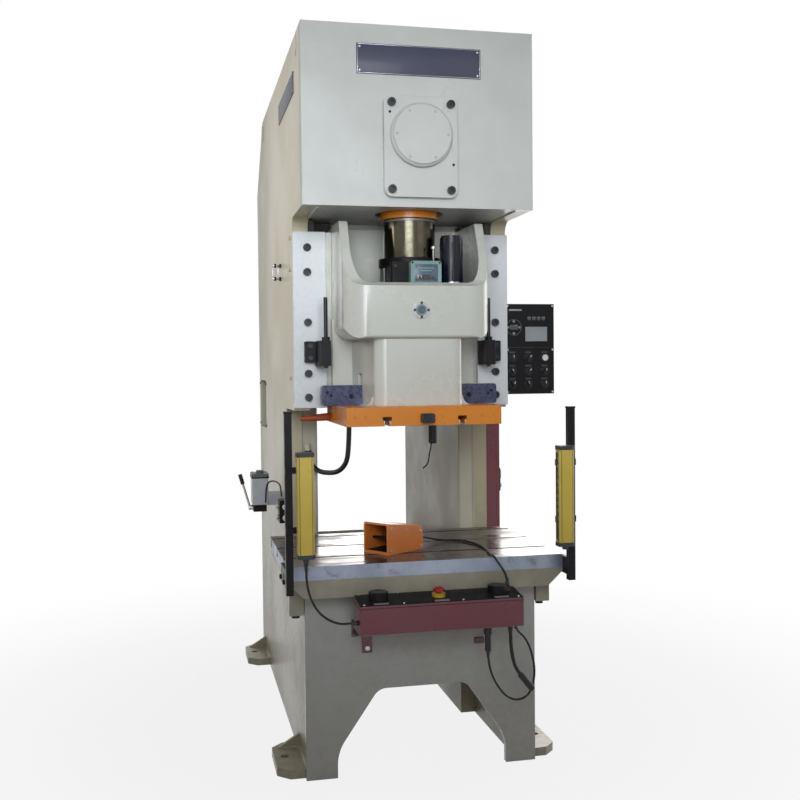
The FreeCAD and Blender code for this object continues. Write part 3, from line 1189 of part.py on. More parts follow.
# ---------------------------------------------------------------- controls
def control_panel():
    """Box on the right column with its black face, selector knobs, dial and screen bezel."""
    x0, x1 = PANEL_X, PANEL_X + PANEL_WIDTH
    top = PANEL_LOW + PANEL_HEIGHT
    face_y = PANEL_FRONT_Y + PANEL_FACE
    case = box(x0, x1, face_y - 1, PANEL_FRONT_Y + PANEL_DEPTH, PANEL_LOW, top)
    face = front_profile(rectangle(x0 + 2, x1 - 2, PANEL_LOW + 2, top - 2, 6), PANEL_FRONT_Y, face_y)
    bracket = box(HALF_WIDTH, x0 + 1, face_y + 30, PANEL_FRONT_Y + PANEL_DEPTH - 30,
                  PANEL_LOW + 60, top - 60)
    pieces = [face, bracket]
    for column, x in enumerate(KNOB_COLUMNS):
        for row, z in enumerate(KNOB_ROWS):
            if (column, row) != (2, 2):
                pieces.append(selector(x0 + x, PANEL_LOW + z, 25 * (column - 1) + 20 * row))
    pieces.append(ring_y(DIAL_RADIUS, DIAL_RADIUS - 4, PANEL_FRONT_Y - 3, PANEL_FRONT_Y + 1,
                         x0 + DIAL_X, PANEL_LOW + DIAL_Z))
    left, low = x0 + SCREEN_X, PANEL_LOW + SCREEN_Z
    right, high = left + SCREEN_WIDTH, low + SCREEN_HEIGHT
    bezel = box(left, right, PANEL_FRONT_Y - 3, PANEL_FRONT_Y + 1, low, high)
    rim = SCREEN_RIM
    glass = box(left + rim, right - rim, PANEL_FRONT_Y - 4, PANEL_FRONT_Y - 1, low + rim, high - rim)
    button = (x0 + KNOB_COLUMNS[2], PANEL_LOW + KNOB_ROWS[2])
    well = rod_y(STEM_RADIUS + 0.1, PANEL_FRONT_Y - 1, PANEL_FRONT_Y + 20, *button)
    return cut(fuse(case, *pieces, cut(bezel, glass)), well)


def selector(x, z, turn):
    """Round base with a raised grip bar, turned by the given angle in degrees."""
    front = PANEL_FRONT_Y - KNOB_HEIGHT
    grip = box(x - 4, x + 4, front, PANEL_FRONT_Y - 6, z - KNOB_RADIUS + 1, z + KNOB_RADIUS - 1)
    grip.rotate(vec(x, 0, z), vec(0, 1, 0), turn)
    base = rod_y(KNOB_RADIUS, PANEL_FRONT_Y - 7, PANEL_FRONT_Y + 1, x, z)
    return fuse(base, grip)


def panel_button():
    x, z = PANEL_X + KNOB_COLUMNS[2], PANEL_LOW + KNOB_ROWS[2]
    shoulder = PANEL_FRONT_Y - BUTTON_TRAVEL - 1
    return turned_y([(PANEL_FRONT_Y - 12, KNOB_RADIUS - 1), (shoulder, KNOB_RADIUS - 1),
                     (shoulder, STEM_RADIUS), (PANEL_FRONT_Y + 12, STEM_RADIUS)], x, z)


def cabinet():
    """Electrical cabinet on the right side plate: a sheet box, open towards its door."""
    y1 = CABINET_FRONT_Y + CABINET_LENGTH
    top = CABINET_LOW + CABINET_HEIGHT
    case = box(HALF_WIDTH, CABINET_OUT, CABINET_FRONT_Y, y1, CABINET_LOW, top)
    inside = box(HALF_WIDTH + CABINET_SHEET, CABINET_OUT + 1, CABINET_FRONT_Y + CABINET_SHEET,
                 y1 - CABINET_SHEET, CABINET_LOW + CABINET_SHEET, top - CABINET_SHEET)
    pieces = []
    for z in hinge_heights():
        low, high = z - HINGE_LENGTH / 2, z - DOOR_GAP
        pieces.append(box(CABINET_OUT - 20, HINGE_X, y1 - 0.5, HINGE_Y + HINGE_RADIUS - 1, low, high))
        pieces.append(rod_z(HINGE_RADIUS, low, high, HINGE_X, HINGE_Y))
    return fuse(cut(case, inside), *pieces)


def hinge_heights():
    return (CABINET_LOW + 120, CABINET_LOW + CABINET_HEIGHT - 120)


def cabinet_door():
    """Cabinet door with the upper halves of its hinges and the latch plate."""
    x0, x1 = CABINET_OUT + DOOR_GAP, CABINET_OUT + DOOR_GAP + DOOR_THICKNESS
    y1 = HINGE_Y - HINGE_RADIUS - 3
    top = CABINET_LOW + CABINET_HEIGHT
    door = box(x0, x1, CABINET_FRONT_Y, y1, CABINET_LOW, top)
    pieces = []
    for z in hinge_heights():
        pieces.append(rod_z(HINGE_RADIUS, z, z + HINGE_LENGTH / 2, HINGE_X, HINGE_Y))
        pieces.append(box(HINGE_X - 3, x1, y1 - 12, HINGE_Y, z, z + HINGE_LENGTH / 2))
    latch_y, latch_z = CABINET_FRONT_Y + LATCH_IN, CABINET_LOW + LATCH_RISE
    latch = side_profile(rectangle(latch_y, latch_y + LATCH_WIDTH, latch_z, latch_z + LATCH_LENGTH, 10),
                         x1 - 1, x1 + LATCH_THICKNESS)
    return fuse(door, *pieces, latch)


def box_top(y):
    """Height of the two-hand box's sloping top at a given depth."""
    share = (y - BOX_FRONT_Y) / BOX_DEPTH
    return BOX_LOW + BOX_FRONT_HEIGHT + share * (BOX_BACK_HEIGHT - BOX_FRONT_HEIGHT)


def control_spots():
    """Places of the left palm button, the stop button and the right palm button."""
    middle_y = BOX_FRONT_Y + BOX_DEPTH * 0.5
    return [(BOX_X + side * PALM_X, middle_y) for side in (-1, 0, 1)]


def two_hand_box():
    back_y = BOX_FRONT_Y + BOX_DEPTH
    case = side_profile([(BOX_FRONT_Y, BOX_LOW, BOX_EDGE_RADIUS), (back_y, BOX_LOW, BOX_EDGE_RADIUS),
                         (back_y, BOX_LOW + BOX_BACK_HEIGHT, BOX_EDGE_RADIUS),
                         (BOX_FRONT_Y, BOX_LOW + BOX_FRONT_HEIGHT, BOX_EDGE_RADIUS)], BOX_LEFT, BOX_RIGHT)
    pieces, wells = [], []
    for k, (x, y) in enumerate(control_spots()):
        top = box_top(y)
        if k == 1:
            pieces.append(rod_z(ESTOP_BASE_RADIUS, top - 6, top + 10, x, y))
        else:
            pieces.append(cut(rod_z(PALM_GUARD_RADIUS, top - 6, top + PALM_GUARD_HEIGHT, x, y),
                              rod_z(PALM_GUARD_RADIUS - 4, top + 2, top + PALM_GUARD_HEIGHT + 1, x, y)))
        wells.append(rod_z(STEM_RADIUS + 0.1, top - 22, top + 12, x, y))
    wall = APRON_FRONT_Y
    for inset in ARM_INSETS:
        x = BOX_LEFT + inset
        pieces.append(box(x, x + ARM_WIDTH, back_y - ARM_REACH, wall, BOX_LOW - ARM_PLATE, BOX_LOW + 1))
        pieces.append(box(x, x + ARM_WIDTH, wall - ARM_PLATE, wall, BOX_LOW - ARM_DROP, BOX_LOW + 1))
    end_x, end_y = SWITCH_GLAND
    pieces.append(rod_z(9, box_top(end_y) - 4, box_top(end_y) + GLAND_HEIGHT, end_x, end_y))
    pieces.append(gland(LOOP_X, LOOP_Y, BOX_LOW, 14, GLAND_DROP))
    return cut(fuse(case, *pieces), *wells)


def palm_button(index):
    x, y = control_spots()[index]
    low = box_top(y) + 2
    shoulder = low + PRESS_TRAVEL + 2
    return turned_z([(low - 14, STEM_RADIUS), (shoulder, STEM_RADIUS), (shoulder, PALM_RADIUS),
                     (shoulder + 7, PALM_RADIUS), (shoulder + 12, PALM_RADIUS - 7)], x, y)


def estop_button():
    x, y = control_spots()[1]
    low = box_top(y) + 10
    shoulder = low + PRESS_TRAVEL + 2
    return turned_z([(low - 18, STEM_RADIUS), (shoulder, STEM_RADIUS), (shoulder, ESTOP_RADIUS),
                     (shoulder + 9, ESTOP_RADIUS), (shoulder + 14, ESTOP_RADIUS - 9)], x, y)


# ---------------------------------------------------------------- light curtains
def curtain_post():
    """Right post with its foot on the bed's side and two arms that hold the curtain."""
    half = POST_SIZE / 2
    top = POST_LOW + POST_HEIGHT
    post = box(POST_X - half, POST_X + half, POST_Y - half, POST_Y + half, POST_LOW, top)
    side_x = BOLSTER_WIDTH / 2
    foot_low = BED_TOP - POST_FOOT_DROP
    foot = box(side_x, side_x + POST_ARM, POST_Y, BOLSTER_FRONT_Y + POST_FOOT_REACH,
               foot_low, foot_low + POST_ARM_HEIGHT)
    arms = []
    for height in CLAMP_HEIGHTS:
        low, high = POST_LOW + height - CLAMP_HALF, POST_LOW + height + CLAMP_HALF
        left = CURTAIN_X - ARM_HALF
        arms.append(box(left, POST_X + half, POST_Y - half - 8, POST_Y - half, low, high))
        arms.append(box(left, CURTAIN_X + ARM_HALF, CURTAIN_Y + CURTAIN_DEPTH / 2, POST_Y - half - 7,
                        low, high))
    return fuse(post, foot, *arms)


def light_curtain():
    """Right curtain: an extruded case with cut corners, its end caps and the lens strip inside."""
    half, deep = CURTAIN_WIDTH / 2, CURTAIN_DEPTH / 2
    top = CURTAIN_LOW + CURTAIN_HEIGHT
    left, right = CURTAIN_X - half, CURTAIN_X + half
    front, back = CURTAIN_Y - deep, CURTAIN_Y + deep
    low, high = CURTAIN_LOW + CURTAIN_CAP, top - CURTAIN_CAP
    body = plan_profile(cut_corners(left, right, front, back, CURTAIN_CORNER), low, high)
    wide = cut_corners(left - 1.5, right + 1.5, front - 1.5, back, CURTAIN_CORNER)
    lens = box(left - 2, left + 2, CURTAIN_Y - 12, CURTAIN_Y + 12, low + 12, high - 12)
    socket = rod_z(10, CURTAIN_LOW - 12, CURTAIN_LOW + 2, CURTAIN_X, CURTAIN_Y)
    return fuse(cut(body, lens), plan_profile(wide, CURTAIN_LOW, low), plan_profile(wide, high, top), socket)


# ---------------------------------------------------------------- lubrication
def lube_pump():
    """Hand pump on a bracket on the left side plate, and the divider block with its outlets."""
    half, long_half = PUMP_WIDTH / 2, PUMP_LENGTH / 2
    top = PUMP_LOW + PUMP_HEIGHT
    left, right = PUMP_X - half, PUMP_X + half
    front, back = PUMP_Y - long_half, PUMP_Y + long_half
    tank = plan_profile(rectangle(left, right, front, back, 8), PUMP_LOW, top - PUMP_LID)
    lid = plan_profile(rectangle(left - 2, right + 2, front - 2, back + 2, 8), top - PUMP_LID, top)
    filler = rod_z(16, top - 1, top + 14, PUMP_X, PUMP_Y - 25)
    base = box(left + 6, right - 6, PUMP_Y - 30, PUMP_Y + 30, PUMP_LOW - PUMP_BASE, PUMP_LOW + 1)
    bracket = box(right - 1, -HALF_WIDTH, PUMP_Y - 40, PUMP_Y + 40, PUMP_LOW - 4, PUMP_LOW + 46)
    face, middle = -HALF_WIDTH - DIVIDER_REACH, -HALF_WIDTH - DIVIDER_REACH / 2
    block = box(face, -HALF_WIDTH, DIVIDER_Y, DIVIDER_Y + DIVIDER_LENGTH,
                DIVIDER_LOW, DIVIDER_LOW + DIVIDER_HEIGHT)
    outlets = []
    for rise in OUTLET_RISES:
        z = DIVIDER_LOW + rise
        outlets.append(rod_y(OUTLET_RADIUS, DIVIDER_Y - OUTLET_LENGTH, DIVIDER_Y + 1, middle, z))
        outlets.append(rod_x(OUTLET_RADIUS, face - OUTLET_LENGTH, face + 1, DIVIDER_Y + 30, z))
    return group([fuse(tank, lid, filler, base, bracket), fuse(block, *outlets)])


def lube_lever():
    """Hand lever of the pump: a round arm from its pivot boss up to a thicker grip."""
    x, y, z = PUMP_PIVOT
    boss_x0 = PUMP_X - PUMP_WIDTH / 2 + 6 - DOOR_GAP
    boss = rod_x(11, x - 12, boss_x0, y, z)
    lean = vec(-sin(LEVER_LEAN), 0, cos(LEVER_LEAN))
    foot = vec(x - 6, y, z)
    arm = Part.makeCylinder(LEVER_RADIUS, LEVER_LENGTH, foot, lean)
    grip_foot = foot + lean * (LEVER_LENGTH - LEVER_GRIP / 2)
    grip = Part.makeCylinder(LEVER_GRIP_RADIUS, LEVER_GRIP, grip_foot, lean)
    return fuse(boss, arm, grip)


# ---------------------------------------------------------------- foot switch
def switch_point(across, along):
    """Place on the bolster of a point given across and along the foot switch from its middle."""
    turn = radians(PEDAL_BOX_TURN)
    return (PEDAL_BOX_X + across * cos(turn) - along * sin(turn),
            PEDAL_BOX_Y + across * sin(turn) + along * cos(turn))


def on_bolster(shape):
    """Set down a piece of the foot switch, drawn about its middle with the mouth towards -Y."""
    shape.rotate(vec(0, 0, 0), vec(0, 0, 1), PEDAL_BOX_TURN)
    shape.translate(vec(PEDAL_BOX_X, PEDAL_BOX_Y, BOLSTER_TOP))
    return shape


def pedal_pivot_y():
    return PEDAL_BOX_LENGTH / 2 - PEDAL_PIVOT_IN


def foot_switch():
    """Hooded foot switch with a roof that falls to the back, open to the toe at its mouth."""
    half, mouth, rear = PEDAL_BOX_WIDTH / 2, -PEDAL_BOX_LENGTH / 2, PEDAL_BOX_LENGTH / 2
    fall = (PEDAL_BOX_HEIGHT - PEDAL_BOX_REAR_HEIGHT) / PEDAL_BOX_LENGTH
    end = rear - PEDAL_REAR_WALL
    roof = PEDAL_BOX_HEIGHT - PEDAL_WALL
    hood = side_profile([(mouth, 0), (mouth, PEDAL_BOX_HEIGHT, 10), (rear, PEDAL_BOX_REAR_HEIGHT, 24),
                         (rear, 0)], -half, half)
    hollow = side_profile([(mouth - 1, PEDAL_FLOOR), (mouth - 1, roof), (end, roof - fall * (end - mouth)),
                           (end, PEDAL_FLOOR)], PEDAL_WALL - half, half - PEDAL_WALL)
    stub = rod_y(SWITCH_GLAND_RADIUS, rear - 1, rear + SWITCH_GLAND_LENGTH, 0, SWITCH_GLAND_Z)
    pin_hole = rod_x(PEDAL_PIN_RADIUS + BUSH_CLEARANCE, 2 - half, half - 2, pedal_pivot_y(), PEDAL_PIVOT_Z)
    return on_bolster(cut(fuse(hood, stub), hollow, pin_hole))


def foot_pedal():
    """Sprung pedal plate with its pivot pin near the back of the hood."""
    y, z = pedal_pivot_y(), PEDAL_PIVOT_Z
    half = PEDAL_BOX_WIDTH / 2 - PEDAL_WALL - 2
    pad = box(-half, half, y - PEDAL_REACH, y, z, z + 8)
    boss = rod_x(PEDAL_PIN_RADIUS + 4, -half, half, y, z)
    pin = rod_x(PEDAL_PIN_RADIUS, -half - 5, half + 5, y, z)
    pedal = fuse(pad, boss, pin)
    pedal.rotate(vec(0, y, z), vec(1, 0, 0), -degrees(PEDAL_TILT))
    return on_bolster(pedal)


# ---------------------------------------------------------------- hoses and leads
SWITCH_GLAND = (BOX_RIGHT - 34, -322.0)
GLAND_HEIGHT = 16.0


def switch_lead_route():
    """From the foot switch over the bolster's front edge to the two-hand box."""
    rear = PEDAL_BOX_LENGTH / 2 + SWITCH_GLAND_LENGTH
    x, y = switch_point(0, rear)
    out_x, out_y = switch_point(0, rear + 30)
    z = BOLSTER_TOP + SWITCH_GLAND_Z
    lay = BOLSTER_TOP + LEAD_RADIUS + 0.5
    edge = BOLSTER_FRONT_Y
    end_x, end_y = SWITCH_GLAND
    return [(x, y, z), (out_x, out_y, z), (out_x + 35, out_y + 25, z - 6), (out_x + 72, out_y + 44, z - 18),
            (out_x + 110, out_y + 52, lay), (out_x + 148, out_y + 46, lay), (out_x + 180, out_y + 24, lay),
            (end_x - 33, edge + 308, lay), (end_x - 20, edge + 262, lay), (end_x - 15, edge + 210, lay),
            (end_x - 17, edge + 154, lay), (end_x - 24, edge + 98, lay), (end_x - 33, edge + 42, lay + 1),
            (end_x - 38, edge - 10, lay + 4), (end_x - 26, edge - 36, lay - 20),
            (end_x, end_y, lay - 64), (end_x, end_y, box_top(end_y) + GLAND_HEIGHT)]


def curtain_lead_route():
    """From the left curtain's socket down and across to the two-hand box's left end."""
    x, y, z = -CURTAIN_X, CURTAIN_Y, CURTAIN_LOW
    gap = BOX_LEFT - x
    return [(x, y, z - 12), (x, y, z - 50), (x + gap * 0.02, y + 3, z - 98), (x + gap * 0.1, y + 12, z - 146),
            (x + gap * 0.24, y + 26, z - 190), (x + gap * 0.44, y + 42, z - 222),
            (x + gap * 0.66, y + 52, z - 240), (x + gap * 0.83, y + 54, z - 240), (BOX_LEFT, y + 54, z - 240)]


LOOP_X = BOX_RIGHT - 110
LOOP_Y = -333.0
GLAND_DROP = 92.0


def loop_lead_route():
    """Hanging loop from the gland under the two-hand box round to the box's right end."""
    low = BOX_LOW
    x, y = LOOP_X, LOOP_Y
    return [(x, y, low - GLAND_DROP), (x, y, low - 132), (x + 14, y + 1, low - 187),
            (x + 40, y + 3, low - 234), (x + 74, y + 6, low - 272), (x + 116, y + 8, low - 286),
            (x + 154, y + 9, low - 269), (x + 172, y + 8, low - 227), (x + 176, y + 6, low - 172),
            (x + 164, y + 3, low - 117), (x + 147, y + 1, low - 74), (x + 126, y, low - 46),
            (x + 103, y, low - 26), (x + 103, y, low)]


def conduit_route():
    """Thick lead out of the bottom of the two-hand box, hanging with its free end plug."""
    low = BOX_LOW
    x, y = LOOP_X + 81, LOOP_Y - 8
    return [(x, y, low), (x, y, low - 42), (x + 1.5, y - 1, low - 86), (x + 7, y - 3, low - 128),
            (x + 17, y - 6, low - 164), (x + 35, y - 10, low - 187)]


# The air hose is placed from the elbow on the left column. Its two halves, one that follows the
# slide and one on the frame, meet at the bottom of the loop.
HOSE_X = -COLUMN_INNER_X - 38
HOSE_TOP = (HOSE_X + 150, 259.0, 1300.0)
HOSE_BREAK = (HOSE_X + 71.3, 326.6, 1057.0)
HOSE_END = (HOSE_X, 387.8, 1143.4)
HOSE_BLOCK = (40.0, 53.0, 35.0)
ELBOW_RADIUS = 13.0
ELBOW_LENGTH = 26.0
STUB_RADIUS = 9.0


def hose_upper_route():
    """Slide half of the air hose: out of the block on the slide plate and down to the loop's bottom."""
    x = HOSE_X
    return [HOSE_TOP, (x + 150, 259, 1240), (x + 148, 260.7, 1186), (x + 145.8, 262.6, 1150),
            (x + 142.3, 265.6, 1116.2), (x + 132, 274.4, 1088.3), (x + 114.6, 289.4, 1067.6),
            (x + 92.5, 308.4, 1057), HOSE_BREAK]


def hose_lower_route():
    """Frame half of the air hose: from the loop's bottom up to the elbow on the left column."""
    x = HOSE_X
    return [HOSE_BREAK, (x + 50.1, 344.8, 1057), (x + 28.3, 363.6, 1068.6), (x + 11.3, 378.1, 1090.1),
            (x + 2.1, 386.1, 1117.5), HOSE_END]


def hose_block():
    """Block behind the slide plate that the air hose hangs from."""
    x, y, z = HOSE_TOP
    wide, deep, high = HOSE_BLOCK
    back = SLIDE_PLATE_DEPTH / 2
    return box(x - wide / 2, x + wide / 2, back - 1, back + deep, z, z + high)


def hose_elbow():
    """Elbow that carries the hose's end on the front of the left column."""
    end, before = vec(*HOSE_END), vec(*hose_lower_route()[-2])
    along = end - before
    along.normalize()
    body = Part.makeCylinder(ELBOW_RADIUS, ELBOW_LENGTH, end, along)
    heart = end + along * (ELBOW_LENGTH - STUB_RADIUS - 2)
    return fuse(body, rod_y(STUB_RADIUS, heart.y, THROAT_DEPTH + 1, heart.x, heart.z))


def air_valve():
    """Small valve that hangs behind the slide, its lead curled under it."""
    x, y = 150.0, BODY_BACK_Y + 26
    top = SLIDE_PLATE_TOP + 20
    body = turned_z([(top - 190, 13), (top - 186, 17), (top - 60, 17), (top - 60, 11), (top - 20, 11)], x, y)
    arm = box(x - 12, x + 12, BODY_BACK_Y, y + 6, top - 30, top)
    hook = tube(PILOT_RADIUS, [(x - 6, y, top - 189), (x - 9, y + 1, top - 212),
                               (x - 14, y + 3, top - 234), (x - 16, y + 5, top - 257),
                               (x - 24, y + 7, top - 278), (x - 40, y + 7, top - 291)])
    return fuse(body, arm, hook)


def gland(x, y, z, radius, length):
    """Hexagon-shouldered gland hanging under a surface at height z."""
    nut = plan_profile(hexagon(radius * 2, x, y), z - length * 0.4, z + 1)
    return fuse(nut, rod_z(radius * 0.78, z - length, z - length * 0.4 + 1, x, y))


def conduit():
    """Thick lead with the plug on its free end."""
    before, end = [vec(*p) for p in conduit_route()[-2:]]
    plug = Part.makeCylinder(PLUG_RADIUS, PLUG_LENGTH, end, end - before)
    return group([tube(CONDUIT_RADIUS, conduit_route()), plug])


# ---------------------------------------------------------------- assembly
def build():
    """All nodes by name, drawn about the slide's centre line."""
    right = side_plate()
    left = mirrored(right)
    screw = stop_screw()
    nodes = {
        "side_plate_left": left, "side_plate_right": right,
        "crown_front": crown_front(), "crown_top": crown_top(), "crown_floor": crown_floor(),
        "bearing_walls": group([bearing_wall(FRONT_WALL_Y, True), bearing_wall(REAR_WALL_Y, False)]),
        "rear_cover": rear_cover(), "throat_columns": throat_columns(),
        "apron": apron(), "back_plate": back_plate(), "bed": bed(), "bolster": bolster(),
        "gib_left": mirrored(gib()), "gib_right": gib(), "slide_guides": group(both_sides(guide())),
        "socket_bolts": frame_bolts(), "bearing_cover": bearing_cover(), "bearing_bushes": bushes(),
        "stop_brackets": group(both_sides(stop_bracket())),
        "stop_screw_left": mirrored(screw), "stop_screw_right": screw,
        "crankshaft": crankshaft(), "main_gear": main_gear(), "rod_strap": rod_strap(),
        "connecting_rod": connecting_rod(), "ball_sleeve": ball_sleeve(),
        "pinion_shaft": pinion_shaft(), "flywheel": flywheel(), "motor_pulley": motor_pulley(),
        "drive_belts": drive_belts(), "drive_motor": drive_motor(),
        "slide_casting": slide_casting(), "slide_plate": slide_plate(), "shank_clamp": shank_clamp(),
        "knockout_bar": knockout_bar(), "adjuster_gearbox": adjuster_gearbox(),
        "height_counter": height_counter(), "adjuster_motor": adjuster_motor(),
        "adjuster_port": adjuster_port(),
        "control_panel": control_panel(), "panel_button": panel_button(),
        "cabinet": cabinet(), "cabinet_door": cabinet_door(),
        "two_hand_box": two_hand_box(), "palm_button_left": palm_button(0),
        "palm_button_right": palm_button(2),
        "estop_button": estop_button(),
        "curtain_posts": group(both_sides(curtain_post())),
        "light_curtains": group(both_sides(light_curtain())),
        "lube_pump": lube_pump(), "lube_lever": lube_lever(),
        "foot_switch": foot_switch(), "foot_pedal": foot_pedal(),
        "switch_lead": tube(LEAD_RADIUS, switch_lead_route()),
        "curtain_lead": tube(LEAD_RADIUS, curtain_lead_route()),
        "loop_lead": tube(LEAD_RADIUS, loop_lead_route()), "conduit": conduit(), "air_valve": air_valve(),
        "slide_hose_upper": tube(HOSE_RADIUS, hose_upper_route()),
        "slide_hose_lower": tube(HOSE_RADIUS, hose_lower_route()),
    }
    return nodes


LOOSE = ("switch_lead", "curtain_lead", "loop_lead", "conduit", "slide_hose_upper", "slide_hose_lower")


def frame_shift(nodes):
    """Move from the slide's centre line to the middle of the machine's outline on the floor."""
    outline = FreeCAD.BoundBox()
    for name, shape in nodes.items():
        if name not in LOOSE:
            outline.add(shape.BoundBox)
    return vec(-outline.Center.x, -outline.Center.y, -outline.ZMin)


def main():
    os.makedirs("parts", exist_ok=True)
    nodes = build()
    shift = frame_shift(nodes)
    print("moved by %.3f %.3f %.3f" % tuple(shift))
    for name, shape in nodes.items():
        shape.translate(shift)
        shape.exportStep("parts/%s.step" % name)
    return nodes, shift


NODES, SHIFT = main()
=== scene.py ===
from itertools import product
from math import cos, hypot, pi, radians, sin

import bmesh
import bpy
from mathutils import Matrix, Vector


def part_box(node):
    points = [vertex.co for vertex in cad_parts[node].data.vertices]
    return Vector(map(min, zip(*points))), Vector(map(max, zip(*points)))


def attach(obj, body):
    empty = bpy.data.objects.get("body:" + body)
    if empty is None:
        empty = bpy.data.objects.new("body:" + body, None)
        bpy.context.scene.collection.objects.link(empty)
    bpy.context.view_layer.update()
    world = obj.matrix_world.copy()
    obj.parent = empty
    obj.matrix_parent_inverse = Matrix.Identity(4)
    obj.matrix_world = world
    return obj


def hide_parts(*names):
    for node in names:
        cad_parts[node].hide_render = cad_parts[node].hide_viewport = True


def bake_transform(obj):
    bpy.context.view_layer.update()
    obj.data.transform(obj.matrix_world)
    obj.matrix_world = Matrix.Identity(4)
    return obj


# Open-front stamping press. Sizes are in millimetres about the slide's centre line (x = 0, y = 0)
# on the floor (z = 0), with X to the right and Y to the back, and spot() turns them into the
# frame's metres.

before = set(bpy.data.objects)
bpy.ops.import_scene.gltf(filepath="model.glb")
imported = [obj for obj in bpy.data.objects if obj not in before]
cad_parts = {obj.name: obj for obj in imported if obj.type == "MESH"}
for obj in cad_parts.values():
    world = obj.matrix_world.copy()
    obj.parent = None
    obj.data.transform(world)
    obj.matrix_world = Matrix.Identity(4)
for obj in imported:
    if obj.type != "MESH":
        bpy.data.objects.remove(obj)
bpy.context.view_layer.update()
MM = 0.001
LEFT, FRONT, UP, DOWN = (-1, 0, 0), (0, -1, 0), (0, 0, 1), (0, 0, -1)
ROD_LOW, ROD_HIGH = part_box("connecting_rod")
AXIS = Vector(((ROD_LOW.x + ROD_HIGH.x) / 2, (ROD_LOW.y + ROD_HIGH.y) / 2, 0.0))


def spot(x, y, z):
    return AXIS + Vector((x, y, z)) * MM


def placed(name, data):
    """Object with the data, in the scene."""
    thing = bpy.data.objects.new(name, data)
    bpy.context.scene.collection.objects.link(thing)
    return thing


# ---- camera
CAMERA_PLACE = (-877.0, -3794.8, 1482.3)
CAMERA_YAW = 0.21687
CAMERA_DROP = 0.03223
CAMERA_ROLL = -0.009848
LENS = 46.33


def add_camera():
    forward = Vector((sin(CAMERA_YAW) * cos(CAMERA_DROP), cos(CAMERA_YAW) * cos(CAMERA_DROP),
                      -sin(CAMERA_DROP)))
    level = Vector((cos(CAMERA_YAW), -sin(CAMERA_YAW), 0.0))
    upward = level.cross(forward)
    right = cos(CAMERA_ROLL) * level + sin(CAMERA_ROLL) * upward
    up = cos(CAMERA_ROLL) * upward - sin(CAMERA_ROLL) * level
    data = bpy.data.cameras.new("camera")
    data.lens = LENS
    data.sensor_width = 36.0
    data.clip_end = 100.0
    camera = placed("camera", data)
    turn = Matrix((right, up, -forward)).transposed()
    camera.matrix_world = Matrix.Translation(spot(*CAMERA_PLACE)) @ turn.to_4x4()
    bpy.context.scene.camera = camera


add_camera()


# ---- materials
def tint(red, green, blue):
    """Linear colour of an everyday 0 to 255 colour."""
    def linear(v):
        v /= 255.0
        return v / 12.92 if v <= 0.04045 else ((v + 0.055) / 1.055) ** 2.4
    return (linear(red), linear(green), linear(blue), 1.0)


class Finish:
    """Shader nodes that are added to a new material, or to an owner such as the world."""

    def __init__(self, name, owner=None):
        self.owner = owner or bpy.data.materials.new(name)
        self.owner.use_nodes = True
        self.nodes, self.links = self.owner.node_tree.nodes, self.owner.node_tree.links
        self.place = self.nodes.new("ShaderNodeTexCoord").outputs["Object"]

    def feed(self, node, inputs):
        """Links or sets inputs, by name or number, and leaves alone those that are None."""
        for key, value in inputs.items():
            if isinstance(value, bpy.types.NodeSocket):
                self.links.new(value, node.inputs[key])
            elif value is not None:
                node.inputs[key].default_value = value
        return node

    def add(self, kind, inputs, **settings):
        node = self.nodes.new(kind)
        for key, value in settings.items():
            setattr(node, key, value)
        return self.feed(node, inputs)

    def noise(self, scale, detail, rough=0.55, stretch=(1, 1, 1), distortion=0.0):
        place = self.add("ShaderNodeMapping", {"Vector": self.place, "Scale": stretch}).outputs[0]
        return self.add("ShaderNodeTexNoise", {"Vector": place, "Scale": scale, "Detail": detail,
                                               "Roughness": rough, "Distortion": distortion}).outputs["Fac"]

    def step(self, value, low, high, start=0.0, end=1.0):
        """Smooth change from start to end as value goes from low to high."""
        inputs = {"Value": value, "From Min": low, "From Max": high, "To Min": start, "To Max": end}
        return self.add("ShaderNodeMapRange", inputs, interpolation_type="SMOOTHSTEP").outputs["Result"]

    def maths(self, operation, first, second):
        return self.add("ShaderNodeMath", {0: first, 1: second}, operation=operation).outputs[0]

    def mix(self, share, first, second):
        """Blend of two colours, each a socket or an everyday colour."""
        first, second = [v if isinstance(v, bpy.types.NodeSocket) else tint(*v) for v in (first, second)]
        return self.add("ShaderNodeMix", {0: share, 6: first, 7: second}, data_type="RGBA").outputs[2]

    def soft_edges(self, radius):
        return self.add("ShaderNodeBevel", {"Radius": radius * MM}, samples=4).outputs[0]

    def edge_mask(self, radius):
        """1 on worn corners and 0 on flat faces, within the radius in millimetres."""
        flat = self.add("ShaderNodeNewGeometry", {}).outputs["Normal"]
        dot = self.add("ShaderNodeVectorMath", {0: self.soft_edges(radius), 1: flat}, operation="DOT_PRODUCT")
        return self.step(dot.outputs["Value"], 0.97, 0.80)

    def corner_occlusion(self, distance):
        # Ambient occlusion: 1 deep in corners and recesses, where shade falls.
        node = self.add("ShaderNodeAmbientOcclusion", {"Distance": distance * MM}, samples=6)
        return self.step(node.outputs["AO"], 0.75, 0.25)

    def bump(self, height, depth, normal=None):
        """depth is the height's real size in millimetres."""
        return self.add("ShaderNodeBump", {"Height": height, "Distance": depth * MM, "Strength": 1.0,
                                           "Normal": normal}).outputs[0]

    def seen(self):
        """1 for what the eye follows: straight, by reflection or through glass."""
        path = self.add("ShaderNodeLightPath", {}).outputs
        seen = self.maths("MAXIMUM", path["Is Camera Ray"], path["Is Glossy Ray"])
        return self.maths("MAXIMUM", seen, path["Is Transmission Ray"])

    def done(self, colour, rough, normal=None, **constants):
        shader = self.feed(self.nodes["Principled BSDF"],
                           {"Base Color": colour, "Roughness": rough, "Normal": normal})
        for key, value in constants.items():
            shader.inputs[key.replace("_", " ")].default_value = value
        return self.owner


